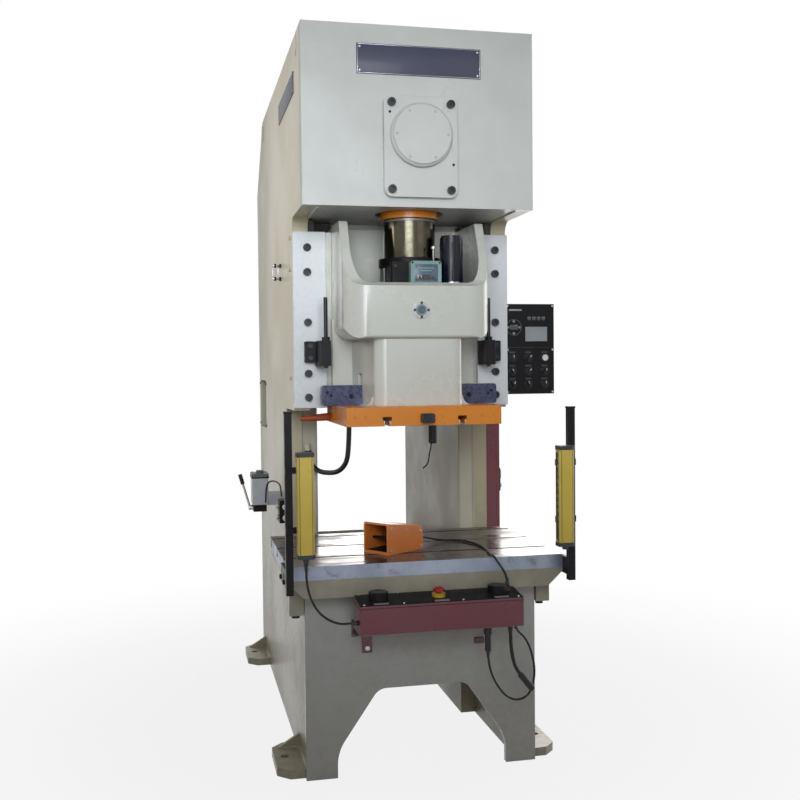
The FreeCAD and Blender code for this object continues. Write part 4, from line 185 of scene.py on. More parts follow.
def paint(name, colour, shade, dirt_and_shade, rough=0.32, peel=0.05, edge=2.5, chip=None, blotch=2.4, coat=0.12,
          low_dust_and_shade=(1.0, 0.1, 0.25, 0.5)):
    """Enamel on metal: slow shade changes, orange peel, soiling and painted shade in the corners, worn edges
    and dust with painted shade, darker towards the floor. The last argument gives the heights where this
    starts and is full, in m, and its least and most cover."""
    f = Finish(name)
    slow = f.step(f.noise(blotch, 4.0, 0.6), 0.35, 0.7)
    fine = f.noise(38.0, 4.0, 0.6)
    base = f.mix(slow, colour, shade)
    base = f.mix(f.step(fine, 0.55, 0.8, 0.0, 0.25), base, shade)
    # Soiling and painted shade: darker in patches in the corners and recesses that ambient occlusion finds.
    grime_and_corner_shade = f.maths("MULTIPLY", f.corner_occlusion(45), f.step(f.noise(11.0, 5.0, 0.65), 0.3, 0.75))
    base = f.mix(f.maths("MULTIPLY", grime_and_corner_shade, 0.55), base, dirt_and_shade)
    height = f.add("ShaderNodeSeparateXYZ", {0: f.place}).outputs["Z"]
    # Dust, and painted shade of the lower parts: darker towards the floor.
    dust = f.maths("MULTIPLY", f.step(height, *low_dust_and_shade[:2]), f.step(fine, 0.2, 0.8, *low_dust_and_shade[2:]))
    base = f.mix(dust, base, dirt_and_shade)
    scuff = f.maths("MULTIPLY", f.edge_mask(edge), f.step(f.noise(55.0, 4.0, 0.7), 0.48, 0.62))
    base = f.mix(f.maths("MULTIPLY", scuff, 0.5), base, chip or dirt_and_shade)
    peel_height = f.noise(240.0, 2.0, 0.5)
    normal = f.bump(peel_height, peel, f.soft_edges(edge))
    roughness = f.step(f.maths("ADD", slow, fine), 0.4, 1.4, rough - 0.05, rough + 0.1)
    return f.done(base, roughness, normal, Coat_Weight=coat, Coat_Roughness=0.14)


def machined(name, colour, shade, rough, metal, grain, stain=None):
    """Ground or turned metal with a grain along one direction and oily stains."""
    f = Finish(name)
    lines = f.noise(1.0, 2.0, 0.6, grain)
    slow = f.step(f.noise(5.0, 5.0, 0.62), 0.35, 0.7)
    base = f.mix(slow, colour, shade)
    base = f.mix(f.step(lines, 0.3, 0.7, 0.0, 0.25), base, shade)
    if stain:
        marks = f.step(f.noise(14.0, 6.0, 0.7, distortion=0.6), 0.56, 0.68)
        base = f.mix(f.maths("MULTIPLY", marks, 0.55), base, stain)
    normal = f.bump(lines, 0.01, f.soft_edges(1.0))
    roughness = f.step(f.maths("ADD", lines, slow), 0.5, 1.5, rough - 0.07, rough + 0.12)
    return f.done(base, roughness, normal, Metallic=metal)


def moulded(name, colour, shade, rough, grain, scale=700.0, coat=0.0, gloss=0.25):
    """Moulded plastic or rubber: fine sand texture, dust in the corners, softly rounded edges."""
    f = Finish(name)
    slow = f.step(f.noise(9.0, 4.0, 0.6), 0.3, 0.75)
    base = f.mix(slow, colour, shade)
    dust = f.maths("MULTIPLY", f.corner_occlusion(8), 0.3)
    base = f.mix(dust, base, [min(255, c + 26) for c in shade])
    wear = f.maths("MULTIPLY", f.edge_mask(0.8), f.step(f.noise(120.0, 3.0, 0.6), 0.4, 0.7, 0.0, 0.35))
    base = f.mix(wear, base, [min(255, c + 60) for c in shade])
    normal = f.bump(f.noise(scale, 2.0, 0.5), grain, f.soft_edges(0.8))
    roughness = f.step(f.noise(22.0, 4.0, 0.6), 0.3, 0.7, rough - 0.06, rough + 0.08)
    return f.done(base, roughness, normal, Coat_Weight=coat, Coat_Roughness=0.1, Specular_IOR_Level=gloss)


def oxide(name, colour, rough=0.38):
    """Black oxide steel with rubbed edges and a dull oil film."""
    f = Finish(name)
    slow = f.step(f.noise(60.0, 4.0, 0.6), 0.35, 0.7)
    base = f.mix(slow, colour, [c + 14 for c in colour])
    rub = f.maths("MULTIPLY", f.edge_mask(1.2), f.step(f.noise(160.0, 3.0, 0.6), 0.35, 0.65))
    base = f.mix(f.maths("MULTIPLY", rub, 0.7), base, (130, 130, 134))
    normal = f.bump(f.noise(500.0, 2.0, 0.5), 0.02, f.soft_edges(0.8))
    roughness = f.step(slow, 0.0, 1.0, rough - 0.06, rough + 0.1)
    return f.done(base, roughness, normal, Metallic=0.35, Specular_IOR_Level=0.3)


def bolster_top(name):
    """Oiled table: dark brown film with paler rubbed patches and cutter marks along X."""
    f = Finish(name)
    lines = f.noise(1.0, 3.0, 0.6, (8, 420, 8))
    film = f.step(f.noise(3.2, 5.0, 0.62, (1.0, 1.8, 1.0), 0.5), 0.38, 0.66)
    base = f.mix(film, (70, 60, 54), (112, 100, 92))
    base = f.mix(f.step(f.noise(9.0, 6.0, 0.7), 0.55, 0.75, 0.0, 0.6), base, (52, 42, 36))
    base = f.mix(f.step(lines, 0.35, 0.75, 0.0, 0.3), base, (140, 130, 124))
    scratch = f.step(f.noise(1.0, 2.0, 0.5, (60, 4, 60)), 0.66, 0.72, 0.0, 0.35)
    base = f.mix(scratch, base, (168, 160, 152))
    normal = f.bump(lines, 0.02, f.soft_edges(1.0))
    roughness = f.step(f.maths("ADD", lines, film), 0.4, 1.5, 0.2, 0.42)
    return f.done(base, roughness, normal, Metallic=0.55)


def glass(name, colour, shade, cell=0.0):
    """Glossy window: a faint inner pattern under a clear smooth face."""
    f = Finish(name)
    slow = f.step(f.noise(26.0, 3.0, 0.5), 0.35, 0.7)
    base = f.mix(slow, colour, shade)
    if cell:
        cells = f.add("ShaderNodeTexVoronoi", {"Vector": f.place, "Scale": cell}, feature="DISTANCE_TO_EDGE")
        base = f.mix(f.step(cells.outputs["Distance"], 0.02, 0.08, 0.4, 0.0), base, (20, 24, 24))
    smear = f.noise(70.0, 3.0, 0.6)
    return f.done(base, f.step(smear, 0.3, 0.8, 0.06, 0.2), f.bump(smear, 0.004), Coat_Weight=0.6,
                  Coat_Roughness=0.04)


M = {
    "cream": paint("cream enamel", (201, 201, 196), (190, 190, 184), (142, 134, 116)),
    # The side plates darken more, and from higher up, towards the floor: painted shade of their lower half as
    # well as dust.
    "side": paint("side plate enamel", (198, 188, 160), (192, 182, 154), (136, 127, 104), rough=0.38,
                  blotch=1.2, low_dust_and_shade=(1.4, 0.3, 0.35, 0.75)),
    "slide": paint("slide enamel", (202, 202, 192), (193, 192, 182), (146, 138, 118), rough=0.22, peel=0.03,
                   edge=4.0, coat=0.3),
    "guide": paint("gib enamel", (218, 221, 224), (206, 209, 210), (150, 142, 122), rough=0.3),
    # The bed's enamel is a darker, browner copy of the cream: grime, and painted shade under the bolster.
    "bed": paint("bed enamel in painted shade", (176, 169, 151), (152, 145, 127), (96, 86, 72), rough=0.4, blotch=5.0),
    "column": paint("column enamel", (206, 198, 178), (192, 184, 164), (118, 106, 86), rough=0.4),
    "seam": paint("painted weld", (190, 187, 174), (176, 172, 158), (128, 118, 96), rough=0.4, peel=0.4),
    "orange": paint("orange enamel", (222, 132, 6), (208, 118, 4), (120, 66, 12), rough=0.28,
                    chip=(160, 86, 16)),
    "switch orange": paint("foot switch enamel", (226, 130, 56), (212, 116, 46), (112, 56, 20), rough=0.3,
                           chip=(120, 70, 30)),
    "maroon": paint("maroon enamel", (122, 36, 54), (106, 28, 46), (52, 14, 22), rough=0.24,
                    chip=(76, 26, 34)),
    "navy": paint("navy plate", (36, 40, 66), (31, 35, 59), (18, 20, 34), rough=0.44, edge=1.0,
                  chip=(120, 124, 140)),
    "ground steel": machined("ground steel", (160, 168, 184), (134, 142, 160), 0.36, 0.5, (25, 25, 1200),
                             (104, 94, 84)),
    "table steel": bolster_top("oiled table steel"),
    # The sleeve's dark olive base is a painted reflection of dark surroundings, in place of the white world
    # that it would mirror.
    "polished steel": machined("polished steel", (84, 80, 68), (64, 60, 50), 0.18, 1.0, (90, 90, 90),
                               (60, 52, 38)),
    "forged steel": machined("forged steel", (120, 120, 122), (96, 96, 98), 0.42, 0.85, (400, 400, 400)),
    "gear iron": machined("cut gear iron", (128, 126, 122), (98, 96, 92), 0.42, 0.8, (300, 300, 300),
                          (72, 60, 44)),
    "bronze": machined("bronze", (176, 128, 72), (150, 104, 56), 0.34, 0.9, (300, 300, 300)),
    "brass": machined("brass fitting", (170, 140, 80), (146, 116, 60), 0.28, 1.0, (200, 200, 200)),
    "bright steel": machined("bright steel", (176, 177, 180), (150, 151, 155), 0.24, 0.95, (60, 60, 900)),
    "oxide": oxide("black oxide steel", (30, 30, 33)),
    "bolt face": machined("bolt face", (24, 26, 34), (12, 13, 18), 0.42, 0.2, (300, 300, 300)),
    "guide iron": machined("guide iron", (58, 56, 54), (42, 40, 38), 0.5, 0.5, (40, 40, 600)),
    "bar": oxide("blued bar steel", (54, 58, 82), 0.3),
    "strap red": moulded("orange strap", (186, 92, 56), (166, 76, 44), 0.5, 0.05),
    "bracket": moulded("bracket black", (13, 13, 17), (19, 19, 24), 0.4, 0.06, 300.0, gloss=0.16),
    "motor black": moulded("motor black", (14, 17, 34), (9, 11, 22), 0.26, 0.01, coat=0.1, gloss=0.2),
    "gearbox": moulded("worm housing black", (11, 11, 12), (17, 16, 17), 0.44, 0.12, 260.0, gloss=0.12),
    "teal": moulded("counter rim", (134, 164, 156), (116, 146, 140), 0.36, 0.04),
    "counter face": moulded("counter face", (84, 102, 118), (72, 88, 104), 0.3, 0.01, coat=0.2),
    "motor grey": paint("motor enamel", (96, 108, 118), (82, 92, 100), (52, 52, 50)),
    "rubber": moulded("belt rubber", (24, 24, 24), (36, 35, 34), 0.62, 0.1),
    "panel": moulded("panel black", (20, 20, 22), (14, 14, 16), 0.42, 0.03, gloss=0.12),
    "knob": moulded("knob black", (9, 9, 10), (16, 16, 17), 0.3, 0.02, coat=0.1),
    "white plastic": moulded("white plastic", (226, 226, 222), (212, 212, 206), 0.35, 0.02),
    "grey plastic": moulded("grey plastic", (150, 154, 156), (134, 138, 140), 0.38, 0.03),
    "dark legend": moulded("dark legend", (66, 66, 70), (52, 52, 56), 0.4, 0.01),
    "legend": moulded("legend grey", (150, 152, 156), (130, 132, 136), 0.4, 0.01),
    "yellow": paint("curtain yellow", (222, 194, 80), (210, 180, 66), (120, 96, 40), rough=0.3, edge=1.2),
    "base yellow": moulded("base yellow", (208, 168, 44), (190, 150, 34), 0.34, 0.02, coat=0.2),
    "cap grey": moulded("end cap grey", (70, 70, 74), (56, 56, 60), 0.45, 0.08),
    "pump tank": moulded("pump tank", (190, 192, 198), (172, 174, 180), 0.32, 0.03, coat=0.2),
    "pump grey": moulded("pump grey", (104, 104, 106), (86, 86, 88), 0.4, 0.05),
    "green": moulded("button green", (36, 128, 62), (26, 104, 48), 0.3, 0.02, coat=0.3),
    "red": moulded("button red", (186, 26, 26), (160, 18, 20), 0.3, 0.02, coat=0.3),
    "cord": moulded("cord rubber", (12, 12, 13), (20, 20, 21), 0.42, 0.03),
    "hose": moulded("hose rubber", (14, 15, 18), (24, 25, 30), 0.34, 0.03, coat=0.1),
    "valve": moulded("valve navy", (26, 29, 44), (18, 20, 32), 0.35, 0.04),
    "screen": glass("panel screen", (96, 100, 100), (84, 88, 88), 900.0),
    "lens": glass("curtain lens", (46, 14, 16), (30, 8, 12)),
    "lamp glass": glass("lamp glass", (38, 40, 44), (28, 30, 34), 1400.0),
}


# ---- cords
def cord_line(name, route):
    """Smooth open line through the air, with the route's points as its control points."""
    data = bpy.data.curves.new(name, "CURVE")
    data.dimensions = "3D"
    data.resolution_u = 12
    line = data.splines.new("NURBS")
    line.points.add(len(route) - 1)
    for point, place in zip(line.points, route):
        point.co = (*spot(*place), 1.0)
    line.order_u = 3
    line.use_endpoint_u = True
    return data


def line_points(data):
    """Points that Blender reads along a bare line."""
    holder = bpy.data.objects.new("holder", data)
    mesh = bpy.data.meshes.new_from_object(holder)
    points = [v.co.copy() for v in mesh.vertices]
    bpy.data.objects.remove(holder)
    bpy.data.meshes.remove(mesh)
    return points


def free_lead(node, route, radius):
    """Round lead on the frame in place of its CAD solid."""
    data = cord_line(node + "_line", route)
    data.bevel_depth = radius * MM
    data.bevel_resolution = 6
    data.use_fill_caps = True
    data.materials.append(M["cord"])
    piece = placed(node + "_line", data)
    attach(piece, "frame")
    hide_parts(node)


SWITCH_LEAD = [(15.2, 32.0, 825), (39.2, 50.1, 825), (74.2, 75.1, 819), (111.2, 94.1, 807),
               (149.2, 102.1, 799.5), (187.2, 96.1, 799.5), (219.2, 74.1, 799.5), (239, 35, 799.5),
               (252, -11, 799.5), (257, -63, 799.5), (255, -119, 799.5), (248, -175, 799.5),
               (239, -231, 800.5), (234, -283, 803.5), (246, -309, 779.5), (272, -322, 735.5),
               (272, -322, 700.8)]
CURTAIN_LEAD = [(-456, -412, 838), (-456, -412, 800), (-452.4, -409, 752), (-437.8, -400, 704),
                (-412.3, -386, 660), (-375.9, -370, 628), (-335.9, -360, 610), (-304.9, -358, 610),
                (-274, -358, 610)]
LOOP_LEAD = [(196, -333, 480), (196, -333, 440), (210, -332, 385), (236, -330, 338), (270, -327, 300),
             (312, -325, 286), (350, -324, 303), (368, -325, 345), (372, -327, 400), (360, -330, 455),
             (343, -332, 498), (322, -333, 526), (299, -333, 546), (299, -333, 572)]
CONDUIT = [(277, -341, 572), (277, -341, 530), (278.5, -342, 486), (284, -344, 444), (294, -347, 408),
           (312, -351, 385)]
HOSE_UPPER = [(-193, 259, 1300), (-193, 259, 1240), (-195, 260.7, 1186), (-197.2, 262.6, 1150),
              (-200.7, 265.6, 1116.2), (-211, 274.4, 1088.3), (-228.4, 289.4, 1067.6),
              (-250.5, 308.4, 1057), (-271.7, 326.6, 1057)]
HOSE_LOWER = [(-271.7, 326.6, 1057), (-292.9, 344.8, 1057), (-314.7, 363.6, 1068.6),
              (-331.7, 378.1, 1090.1), (-340.9, 386.1, 1117.5), (-343, 387.8, 1143.4)]

NODE_MATERIALS = {
    "cream": ("crown_front", "crown_top", "crown_floor", "bearing_walls", "rear_cover", "apron",
              "back_plate", "bearing_cover"),
    "side": ("side_plate_left", "side_plate_right"),
    "guide": ("gib_left", "gib_right"),
    "guide iron": ("slide_guides",),
    "slide": ("slide_casting",),
    "bed": ("bed",),
    "column": ("throat_columns",),
    "orange": ("slide_plate", "connecting_rod"),
    "switch orange": ("foot_switch",),
    "maroon": ("two_hand_box", "cabinet", "cabinet_door"),
    "table steel": ("bolster",),
    "polished steel": ("ball_sleeve",),
    "forged steel": ("crankshaft", "rod_strap"),
    "gear iron": ("main_gear", "pinion_shaft", "flywheel", "motor_pulley"),
    "bronze": ("bearing_bushes",),
    "bright steel": ("adjuster_port", "lube_lever"),
    "oxide": ("socket_bolts", "stop_screw_left", "stop_screw_right", "shank_clamp"),
    "bar": ("knockout_bar",),
    "bracket": ("stop_brackets", "curtain_posts"),
    "motor black": ("adjuster_motor",),
    "gearbox": ("adjuster_gearbox", "foot_pedal"),
    "teal": ("height_counter",),
    "motor grey": ("drive_motor",),
    "rubber": ("drive_belts",),
    "panel": ("control_panel",),
    "white plastic": ("panel_button",),
    "yellow": ("light_curtains",),
    "pump tank": ("lube_pump",),
    "green": ("palm_button_left", "palm_button_right"),
    "red": ("estop_button",),
    "valve": ("air_valve",),
    "cord": ("switch_lead", "curtain_lead", "loop_lead", "conduit", "slide_hose_upper", "slide_hose_lower"),
}
USUAL_SLOTS = {"bright steel": "bright_steel", "oxide": "black_oxide", "navy": "motor_paint",
               "side": "frame_paint", "seam": "frame_paint"}


def smooth_by_angle():
    """Modifier group that shades a tessellated solid smoothly across its gentle edges."""
    group = bpy.data.node_groups.new("smooth solid", "GeometryNodeTree")
    group.interface.new_socket("Geometry", in_out="INPUT", socket_type="NodeSocketGeometry")
    group.interface.new_socket("Geometry", in_out="OUTPUT", socket_type="NodeSocketGeometry")
    nodes, links = group.nodes, group.links
    start, end = nodes.new("NodeGroupInput"), nodes.new("NodeGroupOutput")
    merge = nodes.new("GeometryNodeMergeByDistance")
    merge.inputs["Distance"].default_value = 0.005 * MM
    faces = nodes.new("GeometryNodeSetShadeSmooth")
    edges = nodes.new("GeometryNodeSetShadeSmooth")
    edges.domain = "EDGE"
    angle = nodes.new("GeometryNodeInputMeshEdgeAngle")
    sharp = nodes.new("FunctionNodeCompare")
    sharp.operation = "GREATER_THAN"
    sharp.inputs[1].default_value = radians(24)
    edges.inputs["Shade Smooth"].default_value = False
    links.new(start.outputs[0], merge.inputs["Geometry"])
    links.new(merge.outputs[0], faces.inputs["Geometry"])
    links.new(faces.outputs[0], edges.inputs["Geometry"])
    links.new(angle.outputs["Unsigned Angle"], sharp.inputs[0])
    links.new(sharp.outputs[0], edges.inputs["Selection"])
    links.new(edges.outputs[0], end.inputs[0])
    return group


SMOOTH = smooth_by_angle()
for key, names in NODE_MATERIALS.items():
    for name in names:
        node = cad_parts[name]
        node.data.materials.clear()
        node.data.materials.append(M[key])
        node.modifiers.new("smooth", "NODES").node_group = SMOOTH


class Piece:
    """Mesh under construction, in millimetres about the slide's centre line."""

    def __init__(self):
        self.mesh = bmesh.new()

    def block(self, x0, x1, y0, y1, z0, z1):
        made = [self.mesh.verts.new(spot(x, y, z)) for z in (z0, z1) for y in (y0, y1) for x in (x0, x1)]
        for face in ((0, 2, 3, 1), (4, 5, 7, 6), (0, 1, 5, 4), (2, 6, 7, 3), (0, 4, 6, 2), (1, 3, 7, 5)):
            self.mesh.faces.new([made[k] for k in face])
        return self

    def prism(self, outline, place, run):
        """Flat outline of (u, v), pushed along run; place turns (u, v) into a point."""
        low = [self.mesh.verts.new(spot(*place(u, v))) for u, v in outline]
        high = [self.mesh.verts.new(v.co + Vector(run) * MM) for v in low]
        self.mesh.faces.new(low)
        self.mesh.faces.new(high[::-1])
        for k in range(len(low)):
            j = (k + 1) % len(low)
            self.mesh.faces.new([low[j], low[k], high[k], high[j]])

    def turned(self, steps, foot, axis, sides):
        """Solid of revolution from steps of (distance along the axis, radius)."""
        along = Vector(axis).normalized()
        side = along.orthogonal().normalized()
        other = along.cross(side)
        rings = []
        for distance, radius in steps:
            centre = Vector(foot) + along * distance
            turns = [0.0] if radius < 1e-6 else [2 * pi * k / sides for k in range(sides)]
            rings.append([self.mesh.verts.new(spot(*(centre + (side * cos(a) + other * sin(a)) * radius)))
                          for a in turns])
        self.skin(rings)
        return self

    def skin(self, rings):
        """Faces between rings of points, with the two ends closed."""
        for one, two in zip(rings, rings[1:]):
            for k in range(max(len(one), len(two))):
                j = (k + 1) % max(len(one), len(two))
                corners = [one[k % len(one)], one[j % len(one)], two[j % len(two)], two[k % len(two)]]
                self.mesh.faces.new(list(dict.fromkeys(corners)))
        for ring in (rings[0], rings[-1]):
            if len(ring) > 2:
                self.mesh.faces.new(ring)

    def pipe(self, line, radius, sides=14):
        """Round bar along points in metres, read from a smooth line."""
        side = (line[1] - line[0]).orthogonal().normalized()
        rings = []
        for k, point in enumerate(line):
            along = (line[min(k + 1, len(line) - 1)] - line[max(k - 1, 0)]).normalized()
            side = (side - along * side.dot(along)).normalized()
            other = along.cross(side)
            rings.append([self.mesh.verts.new(point + (side * cos(a) + other * sin(a)) * radius * MM)
                          for a in (2 * pi * j / sides for j in range(sides))])
        self.skin(rings)
        return self

    def done(self, name, material, body, bevel, slot=None):
        bmesh.ops.recalc_face_normals(self.mesh, faces=self.mesh.faces)
        data = bpy.data.meshes.new(name)
        self.mesh.to_mesh(data)
        self.mesh.free()
        piece = placed(name, data)
        data.materials.append(M[material])
        if bevel:
            edges = piece.modifiers.new("edges", "BEVEL")
            edges.width = bevel * MM
            edges.segments = 2
            edges.limit_method = "ANGLE"
            edges.angle_limit = radians(35)
            edges.use_clamp_overlap = True
        piece.modifiers.new("smooth", "NODES").node_group = SMOOTH
        if body:
            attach(piece, body)
            slot or USUAL_SLOTS[material]
        return piece


def screw(piece, place, axis, radius, height, socket=0.45):
    """Cap screw with a hollow in its head."""
    hollow = radius * socket
    return piece.turned([(0, radius), (height * 0.8, radius), (height, radius * 0.88), (height, hollow),
                         (height * 0.5, hollow * 0.9), (height * 0.5, 0)], place, axis, 18)


def screws(name, material, body, bevel, *rows, slot=None):
    """Piece of cap screws, from rows of (places, axis, radius, height)."""
    piece = Piece()
    for places, axis, radius, height in rows:
        for place in places:
            screw(piece, place, axis, radius, height)
    piece.done(name, material, body, bevel, slot=slot)


def circle(x, y, z, radius, count):
    """Places round a centre, on a circle that faces the front."""
    return [(x + radius * cos(a), y, z + radius * sin(a)) for a in (2 * pi / count * k for k in range(count))]


def paint_faces(node, key, test):
    """Gives another material to the faces of a CAD node that pass the test: p is the middle of a face,
    in millimetres about the slide's centre line, and n its normal."""
    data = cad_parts[node].data
    data.materials.append(M[key])
    for face in data.polygons:
        if test((face.center - AXIS) / MM, face.normal):
            face.material_index = len(data.materials) - 1


# ---- cords and what is on them
switch_relief = Piece()
switch_relief.turned([(0, 9), (5, 9), (6, 7.4), (22, 5.2), (30, 4.6), (30, 0)], SWITCH_LEAD[0],
                     Vector(SWITCH_LEAD[1]) - Vector(SWITCH_LEAD[0]), 24)
switch_relief.turned([(0, 8.4), (6, 8.4), (7, 7), (20, 5.2), (28, 4.6), (28, 0)], SWITCH_LEAD[-1], UP, 24)
switch_relief.done("switch_reliefs", "knob", "frame", 0.5, slot="cord_black")
free_lead("switch_lead", SWITCH_LEAD, 4)

curtain_relief = Piece()
curtain_relief.turned([(0, 8), (10, 8), (11, 6.4), (24, 5.2), (34, 4.5), (34, 0)], CURTAIN_LEAD[0], DOWN, 24)
curtain_relief.turned([(0, 9), (6, 9), (7, 7), (22, 5), (26, 4.5), (26, 0)], CURTAIN_LEAD[-1], LEFT, 24)
curtain_relief.done("curtain_reliefs", "knob", "frame", 0.5, slot="cord_black")
free_lead("curtain_lead", CURTAIN_LEAD, 4)

loop_relief = Piece()
loop_relief.turned([(0, 10.5), (6, 10.5), (7, 7.5), (18, 5.4), (28, 4.5), (28, 0)], LOOP_LEAD[0], DOWN, 24)
loop_relief.turned([(0, 9), (5, 9), (6, 6.8), (20, 5), (24, 4.5), (24, 0)], LOOP_LEAD[-1], DOWN, 24)
loop_relief.turned([(0, 13), (8, 13), (9, 9.8), (30, 7.8), (40, 7), (40, 0)], CONDUIT[0], DOWN, 24)
loop_relief.done("loop_reliefs", "knob", "frame", 0.5, slot="cord_black")
free_lead("loop_lead", LOOP_LEAD, 4)

plug_run = Vector(CONDUIT[-1]) - Vector(CONDUIT[-2])
plug = Piece()
plug.turned([(-10, 7.2), (-4, 9.5), (0, 12), (14, 12), (15, 10.6), (18, 10.6), (19, 12), (22, 12), (23, 10.6),
             (26, 10.6), (27, 12), (58, 12), (66, 9.5), (70, 5), (70, 0)], CONDUIT[-1], plug_run, 32)
plug.done("conduit_plug", "knob", "frame", 0.6, slot="cord_black")
free_lead("conduit", CONDUIT, 6.5)


def hose_half(node, route):
    """Half of the air hose that runs between two bodies: a fixed tube along the route, in place of its CAD
    solid.
    """
    line = line_points(cord_line(node + "_path", route))
    piece = Piece().pipe(line, 10, 24).done(node + "_tube", "hose", None, 0)
    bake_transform(piece)
    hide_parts(node)


hose_half("slide_hose_upper", HOSE_UPPER)
hose_half("slide_hose_lower", HOSE_LOWER)
top_fitting = Piece()
top_fitting.turned([(-1, 14), (13, 14), (13, 0)], HOSE_UPPER[0], DOWN, 6)
top_fitting.turned([(13, 12.4), (30, 12.4), (33, 11), (33, 0)], HOSE_UPPER[0], DOWN, 28)
top_fitting.done("hose_top_fitting", "oxide", "slide", 0.7, slot="bright_steel")
end_run = Vector(HOSE_LOWER[-2]) - Vector(HOSE_LOWER[-1])
end_fitting = Piece()
end_fitting.turned([(-1, 15), (10, 15), (10, 0)], HOSE_LOWER[-1], end_run, 6)
end_fitting.turned([(10, 12.2), (24, 12.2), (26, 11), (26, 0)], HOSE_LOWER[-1], end_run, 28)
end_fitting.done("hose_end_fitting", "oxide", "frame", 0.7, slot="bright_steel")

# ---- finishes within one CAD node; the limits lie between the faces that differ
BUTTON_X, BUTTON_Y, STOP_X = (-198, 230), -338, 16
CURTAIN_X, CURTAIN_Y, CURTAIN_FACE = 456, -412, -435
paint_faces("bolster", "ground steel", lambda p, n: n.z < 0.5 and p.z > 746.5 and
            (abs(p.x) > 498 or p.y < -272 or p.y > 406))
paint_faces("two_hand_box", "panel", lambda p, n: n.z > 0.6 and p.z > 670 or p.z > 691 or
            min(hypot(p.x - x, p.y - BUTTON_Y) for x in BUTTON_X) < 36 and p.z > 676)
paint_faces("two_hand_box", "base yellow", lambda p, n: hypot(p.x - STOP_X, p.y - BUTTON_Y) < 25 and
            p.z > 682.5)
paint_faces("two_hand_box", "knob", lambda p, n: p.z < 571 and p.x > 150 and p.y < -300)
paint_faces("light_curtains", "cap grey", lambda p, n: p.z < 864.5 or p.z > 1187.5)
paint_faces("light_curtains", "lens", lambda p, n: abs(abs(p.x) - CURTAIN_X + 28) < 3.5 and
            abs(p.y - CURTAIN_Y) < 12.6 and 870 < p.z < 1182)
paint_faces("lube_pump", "pump grey", lambda p, n: p.z > 1017 and p.x < -470)
paint_faces("lube_pump", "gearbox", lambda p, n: p.z < 897.5 and p.x < -486 or p.x > -470 and p.y < 420)
paint_faces("lube_pump", "brass", lambda p, n: p.y < 329.5 or p.x < -467.5 and p.y < 420)
paint_faces("cabinet_door", "oxide", lambda p, n: p.x > 616.5 and p.y < 900)
paint_faces("control_panel", "grey plastic", lambda p, n: p.y < 149.5 and 508 < p.x < 606 and p.z > 1575)
paint_faces("control_panel", "screen", lambda p, n: p.y < 146.5 and 510 < p.x < 604 and p.z > 1575)
paint_faces("control_panel", "cap grey", lambda p, n: p.y < 149.5 and p.x < 500 and p.z > 1600)
paint_faces("control_panel", "knob", lambda p, n: p.y < 149.5 and p.z < 1550)
paint_faces("drive_motor", "cream", lambda p, n: p.z > 1499)
paint_faces("connecting_rod", "forged steel", lambda p, n: p.z > 2064)
paint_faces("ball_sleeve", "forged steel", lambda p, n: n.z > 0.5)
paint_faces("foot_switch", "gearbox", lambda p, n: n.z > 0.5 and p.z < 808)
paint_faces("lube_lever", "knob", lambda p, n: p.z > 958)
paint_faces("socket_bolts", "bolt face", lambda p, n: n.y < -0.9)
paint_faces("side_plate_left", "column", lambda p, n: 1349 < p.y < 1661 and 1179 < p.z < 1421 and
            abs(n.x) < 0.5)

# ---- crown front
CAP_HEIGHT, CAP_FACE, COVER_FACE = 2304, -235, -208
plate = Piece().block(-228, 228, -189, -185.5, 2518, 2625)
plate.done("name_plate", "navy", "frame", 1.2)
rim = Piece()
for low, high in ((2520.5, 2522), (2621, 2622.5)):
    rim.block(-225, 225, -189.4, -188.5, low, high)
for left, right in ((-225, -223.5), (223.5, 225)):
    rim.block(left, right, -189.4, -188.5, 2520.5, 2622.5)
for x, z in product((-216, 216), (2530, 2613)):
    rim.turned([(0, 4.2), (1.4, 3.8), (2.2, 2.2), (2.4, 0)], (x, -188.8, z), FRONT, 16)
rim.done("name_plate_rim", "bright steel", "frame", 0.2)

screws("cap_screws", "seam", "frame", 0.3, (circle(0, CAP_FACE, CAP_HEIGHT, 93, 6), FRONT, 4.8, 2.4))
# Dark discs on the cover flange: painted shade in place of two holes.
flange_hole_shades = Piece()
for x, z in ((-113, 2384), (119, 2204)):
    flange_hole_shades.turned([(0, 5.0), (0.8, 4.6), (0.8, 0)], (x, COVER_FACE, z), FRONT, 18)
flange_hole_shades.done("flange_hole_shades", "knob", "frame", 0, slot="black_oxide")
cap_ring = Piece()
cap_ring.turned([(0, 106.5), (1.6, 106), (1.6, 101), (0, 100.5)], (0, -228.2, CAP_HEIGHT), FRONT, 96)
cap_ring.done("cap_ring", "seam", "frame", 0.3)


# ---- welds and side plates
def bead(piece, start, end, radius):
    """Run of weld between two points."""
    start, end = Vector(start), Vector(end)
    count = max(3, int((end - start).length / 26))
    piece.pipe([spot(*start.lerp(end, k / count)) for k in range(count + 1)], radius, 8)


